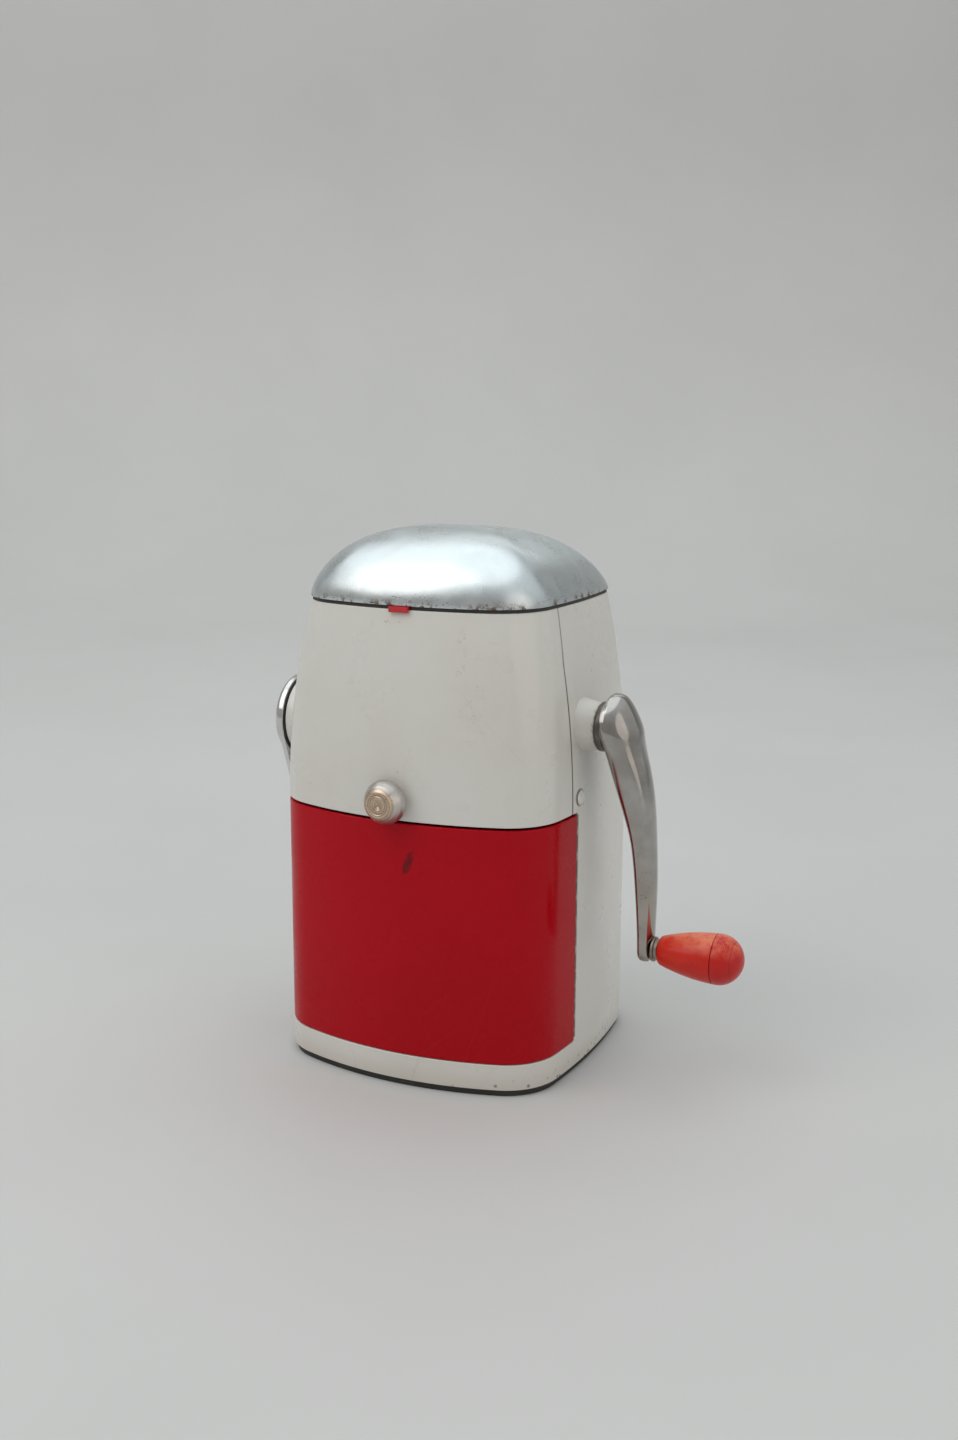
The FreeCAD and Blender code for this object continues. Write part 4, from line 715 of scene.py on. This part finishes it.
def seam_at(z):
    """Y of the seam between the cover and the housing."""
    if z <= COVER_SEAM_BEND_Z:
        return COVER_SEAM_Y
    share = (z - COVER_SEAM_BEND_Z) / (RIM_Z - COVER_SEAM_BEND_Z)
    return COVER_SEAM_Y + (COVER_SEAM_TOP_Y - COVER_SEAM_Y) * share


def front_path(z, offset, split):
    """Path from the left end round the front to the right end."""
    half = body_half(z, offset, split)[:FRONT_COUNT + 1]
    return [(-p.x, p.y, z) for p in reversed(half[1:])] + [(p.x, p.y, z) for p in half]


def rear_path(z, offset, ledge):
    """Path from the right end round the back; with the ledge it starts at the cover's seam."""
    half = body_half(z, offset, BIN_SEAM_Y)[FRONT_COUNT:]
    if ledge:
        half = body_half(z, offset, seam_at(z))[FRONT_COUNT:FRONT_COUNT + 1] + half
    return [(p.x, p.y, z) for p in half] + [(-p.x, p.y, z) for p in reversed(half[:-1])]


def body_ring(z, offset):
    return closed_ring([(p.x, p.y) for p in body_half(z, offset, BIN_SEAM_Y)], z)


def strip(first, second):
    """Faces between two open paths of equal length."""
    return loft([first, second], False)


def cover_mesh():
    """Bent wall of the cover, closed on its lower and upper edges."""
    outer, inner = ([front_path(z, offset, seam_at(z) - SIDE_SEAM_GAP) for z in UPPER_LEVELS]
                    for offset in (0.0, WALL))
    walls = loft([outside + inside[::-1] for outside, inside in zip(outer, inner)])
    return merged(walls, strip(outer[0], inner[0]), strip(outer[-1], inner[-1]))


def rear_wall(heights, ledge):
    return loft([rear_path(z, 0.0, ledge) + rear_path(z, WALL, ledge)[::-1] for z in heights])


def ear_mesh(low_x, high_x):
    """Hinge ear: knuckle with a web running down the back wall."""
    front, foot = HINGE_Y - 6.5, HINGE_Z - 13.0
    side = [(front, HINGE_Z + HINGE_RADIUS)]
    side += [(HINGE_Y + HINGE_RADIUS * math.sin(math.radians(a)),
              HINGE_Z + HINGE_RADIUS * math.cos(math.radians(a))) for a in range(0, 150, 10)]
    side += [(front + 1.5, foot + 1.0), (front, foot)]
    return loft([[(x, y, z) for y, z in side] for x in (low_x, high_x)], True, True, True)


def boss_meshes():
    """Round bosses for the crank and the selector, and the posts that hold the chute."""
    root, face, hole = 64.5, 75.0, 7.1
    crank = [(root, hole), (face, hole), (face, 10.4), (root, 12.7), (root, hole)]
    face, root, hole, rim = SELECTOR_INNER_X + SELECTOR_RING + 0.3, -66.5, 6.1, 16.5
    back = face + 3.3
    hub = [(back, hole), (face, hole), (face, 19.0), (root, 19.6), (root, rim), (back, rim),
           (back, hole)]
    low, high, hole, rim = 194.0, 208.0, 2.03, 4.0
    post = [(low, hole), (high, hole), (high, rim), (low, rim), (low, hole)]
    return [lathe(post, (-POST_X, POST_Y), "z", 32), lathe(post, (POST_X, POST_Y), "z", 32),
            lathe(rounded(crank, 0.7), (CRANK_Y, CRANK_Z), "x"),
            lathe(rounded(hub, 0.8), (SELECTOR_Y, SELECTOR_Z), "x")]


def housing_mesh():
    base = loft([body_ring(z, 0.0) for z in levels(BASE_Z, FLOOR_Z, 4)])
    skirt = loft([body_ring(z, WALL) for z in (BASE_Z, UNDER_Z)])
    under = loft([body_ring(BASE_Z, 0.0), body_ring(BASE_Z, WALL)])
    plate = body_ring(UNDER_Z, WALL)
    floor = front_path(FLOOR_Z, 0.0, BIN_SEAM_Y) + rear_path(FLOOR_Z, WALL, False)
    lower = rear_wall(levels(FLOOR_Z, SEAM_Z, 8), False)
    upper = rear_wall(UPPER_LEVELS, True)
    rim = strip(rear_path(RIM_Z, 0.0, True), rear_path(RIM_Z, WALL, True))
    outer, inner = rear_path(SEAM_Z, 0.0, True), rear_path(SEAM_Z, WALL, True)
    flats = [outer[:2] + inner[1::-1], outer[-2:] + inner[:-3:-1], plate, floor]
    return merged(base, skirt, under, lower, upper, rim,
                  *[(flat, [tuple(range(len(flat)))]) for flat in flats],
                  ear_mesh(7.9, 12.9), ear_mesh(-12.9, -7.9), *boss_meshes())


def bin_ring(z, offset):
    """Closed ring of the bin: bowed front, step in, and the narrower tub behind."""
    seam = BIN_SEAM_Y - SEAM_GAP - offset
    half_width, back, corner = TUB_HALF_WIDTH - offset, TUB_BACK_Y - offset, TUB_CORNER - offset
    points = [(p.x, p.y) for p in body_half(SEAM_Z, offset, seam)[:FRONT_COUNT + 1]]
    points.append((half_width, seam))
    for step in range(9):
        angle = math.pi / 2 * step / 8
        points.append((half_width - corner + corner * math.cos(angle),
                       back - corner + corner * math.sin(angle)))
    return closed_ring(points + [(0.0, back)], z)


def bin_mesh():
    low, high = FLOOR_Z + 0.3, SEAM_Z - BIN_TOP_GAP
    outside = loft([bin_ring(z, 0.0) for z in levels(low, high, 6)], True, True)
    inside = loft([bin_ring(z, WALL) for z in levels(low + WALL, high, 6)], True, True)
    return merged(outside, inside, loft([bin_ring(high, 0.0), bin_ring(high, WALL)]))


cover = new_object("cover_shell", *cover_mesh(), "housing", enamel, "white_enamel")
soften(cover, 0.55)
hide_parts("front_cover")
housing = new_object("housing_shell", *housing_mesh(), "housing", enamel, "white_enamel")
soften(housing, 0.5)
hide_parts("rear_housing")
ice_bin = new_object("bin_tub", *bin_mesh(), "bin", crimson, "bin_red")
soften(ice_bin, 0.6)
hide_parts("ice_bin")


# Crank: one swept form from the egg-shaped head to the round end

ARM_THROW = 99.5
ARM_DOWN = (0.0, 0.09, 0.20, 0.34, 0.52, 0.72, 1.0)  # stations, in shares of the throw
ARM_OUTER = (14.9, 16.4, 19.2, 21.65, 23.1, 23.75, 23.2)
ARM_INNER = (0.0, 2.5, 4.85, 8.85, 13.3, 15.45, 17.0)
ARM_WIDTH = (30.0, 26.6, 21.1, 17.3, 13.7, 13.1, 12.4)
ARM_OUTER_CORNER = (10.35, 9.0, 6.0, 4.2, 3.0, 2.4, 2.0)
ARM_INNER_CORNER = 2.5
ARM_CROWN = 0.95  # radius of the outer face, in widths
ARM_COUNTS = (8, 8, 5, 8, 10)
HEAD_HEIGHT = 15.3
HEAD_CROWN = 0.60
HEAD_SLOPE = 0.34  # lean of the outer face at the axis
EASING = [(step / 4, 5 - abs(step)) for step in range(-4, 5)]  # offsets and weights


def between(values, down, first):
    """Value between the stations, without overshoot; first is its slope at the axis."""
    slopes = [first]
    steps = [(b - a) / (d - c) for a, b, c, d in zip(values, values[1:], ARM_DOWN, ARM_DOWN[1:])]
    for one, two in zip(steps, steps[1:]):
        slopes.append(0.0 if one * two <= 0 else 2 * one * two / (one + two))
    slopes.append(0.0)
    i = max(i for i in range(len(values) - 1) if ARM_DOWN[i] <= down)
    width = ARM_DOWN[i + 1] - ARM_DOWN[i]
    t = (down - ARM_DOWN[i]) / width
    return (values[i] * (1 + 2 * t) * (1 - t) ** 2 + slopes[i] * width * t * (1 - t) ** 2
            + values[i + 1] * t * t * (3 - 2 * t) + slopes[i + 1] * width * t * t * (t - 1))


def flowing(values, down, first=0.0):
    """Same value with the bends at the stations eased over a short way."""
    reach = min(0.07, down, 1.0 - down)
    total = sum(weight for offset, weight in EASING)
    return sum(weight * between(values, down + reach * offset, first)
               for offset, weight in EASING) / total


def arm_half(down):
    """Right half of the level slice at a share of the throw; above the axis it rounds over."""
    if down < 0:
        height = -down * ARM_THROW
        shrink = math.sqrt(max(0.0004, 1 - (height / HEAD_HEIGHT) ** 2))
        inner = 2.1 * (1 - shrink)
        outer = ARM_OUTER[0] * shrink ** 0.51 - HEAD_SLOPE * height * shrink
        width = ARM_WIDTH[0] * shrink
        inner_corner, outer_corner = ARM_INNER_CORNER * shrink, ARM_OUTER_CORNER[0] * shrink
        crown = HEAD_CROWN
    else:
        inner = flowing(ARM_INNER, down)
        outer = flowing(ARM_OUTER, down, HEAD_SLOPE * ARM_THROW)
        width = flowing(ARM_WIDTH, down)
        inner_corner = ARM_INNER_CORNER - 0.7 * down
        outer_corner = flowing(ARM_OUTER_CORNER, down)
        eased = min(1.0, down / 0.3)
        crown = HEAD_CROWN + (ARM_CROWN - HEAD_CROWN) * eased * eased * (3 - 2 * eased)
    depth = outer - inner
    inner_corner = min(inner_corner, 0.3 * depth, 0.3 * width)
    outer_corner = min(outer_corner, 0.47 * width, depth - inner_corner - 0.2)
    return half_outline(width / 2, CRANK_FACE_X + inner, CRANK_FACE_X + outer,
                        (40 * width, 1.6 * width, crown * width), (inner_corner, outer_corner),
                        counts=ARM_COUNTS)


def arm_mesh():
    """Level slices from the top of the head down, then a half turn round the grip's axis."""
    downs = [-HEAD_HEIGHT / ARM_THROW * math.sin(math.radians(a)) for a in range(86, 0, -5)]
    downs += [i / 70 for i in range(71)]
    rings = []
    for down in downs:
        half = arm_half(down)
        z = CRANK_Z - down * ARM_THROW
        rings.append([(p.y, CRANK_Y + p.x, z) for p in half]
                     + [(p.y, CRANK_Y - p.x, z) for p in reversed(half[1:-1])])
    last = arm_half(1.0)
    turns = [math.pi * step / 16 for step in range(17)]
    rows = [[(p.y, CRANK_Y + p.x * math.cos(turn), GRIP_Z - p.x * math.sin(turn)) for p in last]
            for turn in turns]
    return merged(loft(rings, True, True), loft(rows, False))


arm = new_object("crank_swept_arm", *arm_mesh(), "crank", crank_chrome, "crank_chrome", 60.0)
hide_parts("crank_arm")


# Turned pieces

body_profile = [(GRIP_START + 1.5, SPINDLE_HOLE), (GRIP_START, SPINDLE_HOLE), (GRIP_START, 5.0),
                (GRIP_START + 0.25, 5.9), (GRIP_START + 0.9, 6.5)]
body_profile += bulged((GRIP_START + 1.4, 6.75), (GRIP_SPLIT - 0.45, GRIP_RADIUS - 0.05), 0.9)
body_profile += [(GRIP_SPLIT - 0.18, GRIP_RADIUS - 0.08), (GRIP_SPLIT - 0.15, GRIP_RADIUS - 0.3),
                 (GRIP_SPLIT - 0.15, 7.1)]
grip_main = new_object("grip_main", *lathe(body_profile, (CRANK_Y, GRIP_Z), "x"), "grip",
                       grip_red, "grip_red", 60.0)
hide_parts("grip_body")

cap_profile = [(GRIP_SPLIT - 3.2, 4.8), (GRIP_SPLIT - 3.2, 7.0), (GRIP_SPLIT + 0.1, 7.0),
               (GRIP_SPLIT + 0.1, GRIP_RADIUS - 0.3), (GRIP_SPLIT + 0.15, GRIP_RADIUS - 0.08),
               (GRIP_SPLIT + 0.3, GRIP_RADIUS)]
cap_profile += domed(GRIP_SPLIT + 1.75, GRIP_RADIUS, GRIP_END - GRIP_SPLIT - 1.75, 7.0, 1, 14)
grip_end = new_object("grip_end_cap", *lathe(cap_profile, (CRANK_Y, GRIP_Z), "x"), "grip",
                      grip_red, "grip_red", 60.0)
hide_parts("grip_cap")

collar_profile = [(75.3, 5.1), (75.3, 11.0), (76.3, 11.15), (77.6, 11.15), (78.6, 10.9),
                  (78.6, 5.1), (75.3, 5.1)]
collar = new_object("crank_collar_ring",
                    *lathe(rounded(collar_profile, 0.5), (CRANK_Y, CRANK_Z), "x"),
                    "crank", dark_steel, "dark_steel", 50.0)
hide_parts("crank_collar")

ferrule_profile = [(101.9, SPINDLE_HOLE), (101.9, 5.6), (103.1, 5.6), (103.1, 4.5), (104.7, 4.5),
                   (104.7, SPINDLE_HOLE), (101.9, SPINDLE_HOLE)]
ferrule = new_object("grip_washer", *lathe(rounded(ferrule_profile, 0.35), (CRANK_Y, GRIP_Z), "x"),
                     "crank", worn_steel, "steel", 50.0)
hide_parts("grip_ferrule")


def knob_mesh():
    """Flared knob: neck, rounded rim, bulged cone and a face with two turned grooves."""
    wall = front_y(KNOB_Z)
    neck, rear, flat = wall - 1.05, wall - 3.5, wall - 11.7
    profile = [(neck, 2.6), (neck, 4.0), (rear, 4.0), (rear, 9.4), (rear - 0.25, 9.7),
               (rear - 0.7, 9.8), (rear - 1.2, 9.75)]
    profile += bulged((rear - 1.4, 9.7), (flat + 0.15, 5.9), 0.75, 16)
    profile += [(flat + sunk, radius) for sunk, radius in (
        (0.02, 5.65), (0.0, 5.4), (0.0, 4.6), (0.3, 4.4), (0.35, 4.1), (0.3, 3.8), (0.0, 3.6),
        (0.0, 2.2), (0.25, 1.8), (0.9, 0.5), (1.0, 0.0))]
    return lathe(profile, (0.0, KNOB_Z), "y", 112)


knob = new_object("latch_turned_knob", *knob_mesh(), "latch", knob_metal, "knob_metal", 50.0)
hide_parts("latch_knob")


# Selector: edged dome with a finger tail

def teardrop(x, hub, tip):
    """Outline round two circles, in the side plane at x."""
    steps = 26
    lean = math.asin((hub - tip) / TAIL_DROP)
    points = []
    for z, radius, start, sweep in ((SELECTOR_Z, hub, -lean, math.pi + 2 * lean),
                                    (SELECTOR_Z - TAIL_DROP, tip, math.pi + lean,
                                     math.pi - 2 * lean)):
        for step in range(steps + 1):
            angle = start + sweep * step / steps
            points.append((x, SELECTOR_Y + radius * math.cos(angle), z + radius * math.sin(angle)))
    return points


def selector_mesh():
    inner, edge, hub = SELECTOR_INNER_X, SELECTOR_INNER_X - 1.9, SELECTOR_RADIUS - 0.1
    profile = [(inner, SELECTOR_HOLE), (inner, SELECTOR_RADIUS - 0.3),
               (inner - 0.25, SELECTOR_RADIUS), (edge, SELECTOR_RADIUS)]
    profile += domed(edge - 0.1, SELECTOR_RADIUS, 4.4, 2.8, -1, 12)
    cap = lathe(profile, (SELECTOR_Y, SELECTOR_Z), "x", 128)
    rings = [teardrop(inner, hub - 0.3, TAIL_RADIUS - 0.3), teardrop(inner - 0.3, hub, TAIL_RADIUS),
             teardrop(edge, hub, TAIL_RADIUS)]
    bend, steps = 1.3, 5
    for step in range(1, steps + 1):
        angle = math.pi / 2 * step / steps
        back = bend * (1 - math.cos(angle))
        rings.append(teardrop(edge - bend * math.sin(angle), hub - back, TAIL_RADIUS - back))
    return merged(cap, loft(rings, True, True, True))


selector = new_object("selector_lever_cap", *selector_mesh(), "selector", cap_chrome,
                      "cap_chrome", 50.0)
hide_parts("selector_cap")
ring_start, ring_end, ring_radius = SELECTOR_INNER_X, SELECTOR_INNER_X + SELECTOR_RING, 19.3
ring_profile = [(ring_start, SELECTOR_HOLE), (ring_end, SELECTOR_HOLE), (ring_end, ring_radius),
                (ring_start, ring_radius), (ring_start, SELECTOR_HOLE)]
ring = new_object("selector_seal_ring",
                  *lathe(rounded(ring_profile, 0.2), (SELECTOR_Y, SELECTOR_Z), "x", 128),
                  "selector", rubber, "ring_black")
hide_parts("selector_ring")


# Studio: floor, lights and camera, in metres

CAMERA_PLACE = (0.3251, -0.6557, 0.3051)
CAMERA_YAW, CAMERA_PITCH, CAMERA_ROLL = 0.447183952, 0.202059567, 0.00373029341
FOCAL_SHARE = 1594.14 / 1440.0  # focal length over the frame's height
SENSOR_HEIGHT = 36.0
FLOOR_TURN = 25.62  # degrees, square to the camera
FLOOR_FRONT, FLOOR_BACK, FLOOR_HALF_WIDTH = -1.6, 1.3, 4.0
SWEEP_RADIUS = 0.8  # the floor curves up into the backdrop
BACKDROP_TOP = 3.0
MIDDLE = (0.0, 0.0, 0.12)
LAMPS = (  # name, place, aim, size, power, colour
    ("overhead", (-0.5, 0.15, 2.1), (-0.5, 0.15, 0.0), (3.2, 3.4), 17.0, (0.95, 0.985, 1.0)),
    ("window", (-0.8, 2.2, 1.2), MIDDLE, (3.0, 1.6), 15.0, (0.93, 0.98, 1.0)),
    ("key", (-1.3, -1.5, 2.0), MIDDLE, (2.0, 2.6), 17.0, (1.0, 0.985, 0.96)),
    ("fill", (2.4, -0.7, 1.0), MIDDLE, (2.4, 2.4), 8.0, (1.0, 0.93, 0.86)))


def pale_floor():
    g = Graph("floor_pale", Roughness=0.6)
    tone = g.mottled((0.60, 0.60, 0.59), (0.575, 0.575, 0.565), g.noise(3.0, 4.0), 0.3, 0.7)
    g.put(g.shader.inputs["Base Color"], tone)
    turns = 16
    path = [(FLOOR_FRONT, 0.0), (FLOOR_BACK, 0.0)]
    for i in range(1, turns + 1):
        angle = math.pi / 2 * i / turns
        path.append((FLOOR_BACK + SWEEP_RADIUS * math.sin(angle),
                     SWEEP_RADIUS - SWEEP_RADIUS * math.cos(angle)))
    path.append((FLOOR_BACK + SWEEP_RADIUS, BACKDROP_TOP))
    turned = Matrix.Rotation(math.radians(FLOOR_TURN), 3, "Z")
    verts, faces = loft([[turned @ Vector((x, y, z)) for y, z in path]
                         for x in (-FLOOR_HALF_WIDTH, FLOOR_HALF_WIDTH)], False)
    mesh = bpy.data.meshes.new("floor")
    mesh.from_pydata(verts, [], faces)
    mesh.shade_smooth()
    mesh.materials.append(g.material)
    floor = bpy.data.objects.new("floor", mesh)
    bpy.context.scene.collection.objects.link(floor)


def soft_sky():
    """World that brightens upwards and to the back; the camera sees one pale tone."""
    world = bpy.data.worlds.new("studio")
    bpy.context.scene.world = world
    world.use_nodes = True
    tree = world.node_tree
    link, new = tree.links.new, tree.nodes.new
    split = new("ShaderNodeSeparateXYZ")
    link(new("ShaderNodeTexCoord").outputs["Generated"], split.inputs[0])
    rise = new("ShaderNodeMath")
    rise.operation = "MULTIPLY_ADD"
    rise.inputs[1].default_value = 0.5
    link(split.outputs["Y"], rise.inputs[0])
    link(split.outputs["Z"], rise.inputs[2])
    ramp = new("ShaderNodeValToRGB")
    for stop, position, colour in zip(ramp.color_ramp.elements, (0.0, 0.9),
                                      ((0.43, 0.42, 0.41, 1.0), (0.80, 0.84, 0.86, 1.0))):
        stop.position = position
        stop.color = colour
    link(rise.outputs[0], ramp.inputs[0])
    seen = new("ShaderNodeMix")
    seen.data_type = "RGBA"
    seen.inputs["B"].default_value = (0.62, 0.625, 0.62, 1.0)
    link(new("ShaderNodeLightPath").outputs["Is Camera Ray"], seen.inputs["Factor"])
    link(ramp.outputs[0], seen.inputs["A"])
    background = tree.nodes["Background"]
    link(seen.outputs["Result"], background.inputs["Color"])
    background.inputs["Strength"].default_value = 0.86


def lamp(name, place, aim, size, power, colour):
    data = bpy.data.lights.new(name, "AREA")
    data.shape = "ELLIPSE"
    data.size, data.size_y = size
    data.energy = power
    data.color = colour
    made = bpy.data.objects.new(name, data)
    made.location = place
    made.rotation_euler = (Vector(aim) - Vector(place)).to_track_quat("-Z", "Y").to_euler()
    bpy.context.scene.collection.objects.link(made)


def camera():
    forward = Vector((-math.cos(CAMERA_PITCH) * math.sin(CAMERA_YAW),
                      math.cos(CAMERA_PITCH) * math.cos(CAMERA_YAW), -math.sin(CAMERA_PITCH)))
    level = Vector((math.cos(CAMERA_YAW), math.sin(CAMERA_YAW), 0.0))
    over = level.cross(forward)
    right = level * math.cos(CAMERA_ROLL) + over * math.sin(CAMERA_ROLL)
    up = over * math.cos(CAMERA_ROLL) - level * math.sin(CAMERA_ROLL)
    matrix = Matrix((right, up, -forward)).transposed().to_4x4()
    matrix.translation = Vector(CAMERA_PLACE)
    data = bpy.data.cameras.new("camera")
    data.sensor_fit = "VERTICAL"
    data.sensor_height = SENSOR_HEIGHT
    data.lens = FOCAL_SHARE * SENSOR_HEIGHT
    data.clip_start = 0.01
    made = bpy.data.objects.new("camera", data)
    made.matrix_world = matrix
    bpy.context.scene.collection.objects.link(made)
    bpy.context.scene.camera = made


pale_floor()
soft_sky()
for settings in LAMPS:
    lamp(*settings)
camera()
bpy.context.scene.view_settings.view_transform = "Standard"
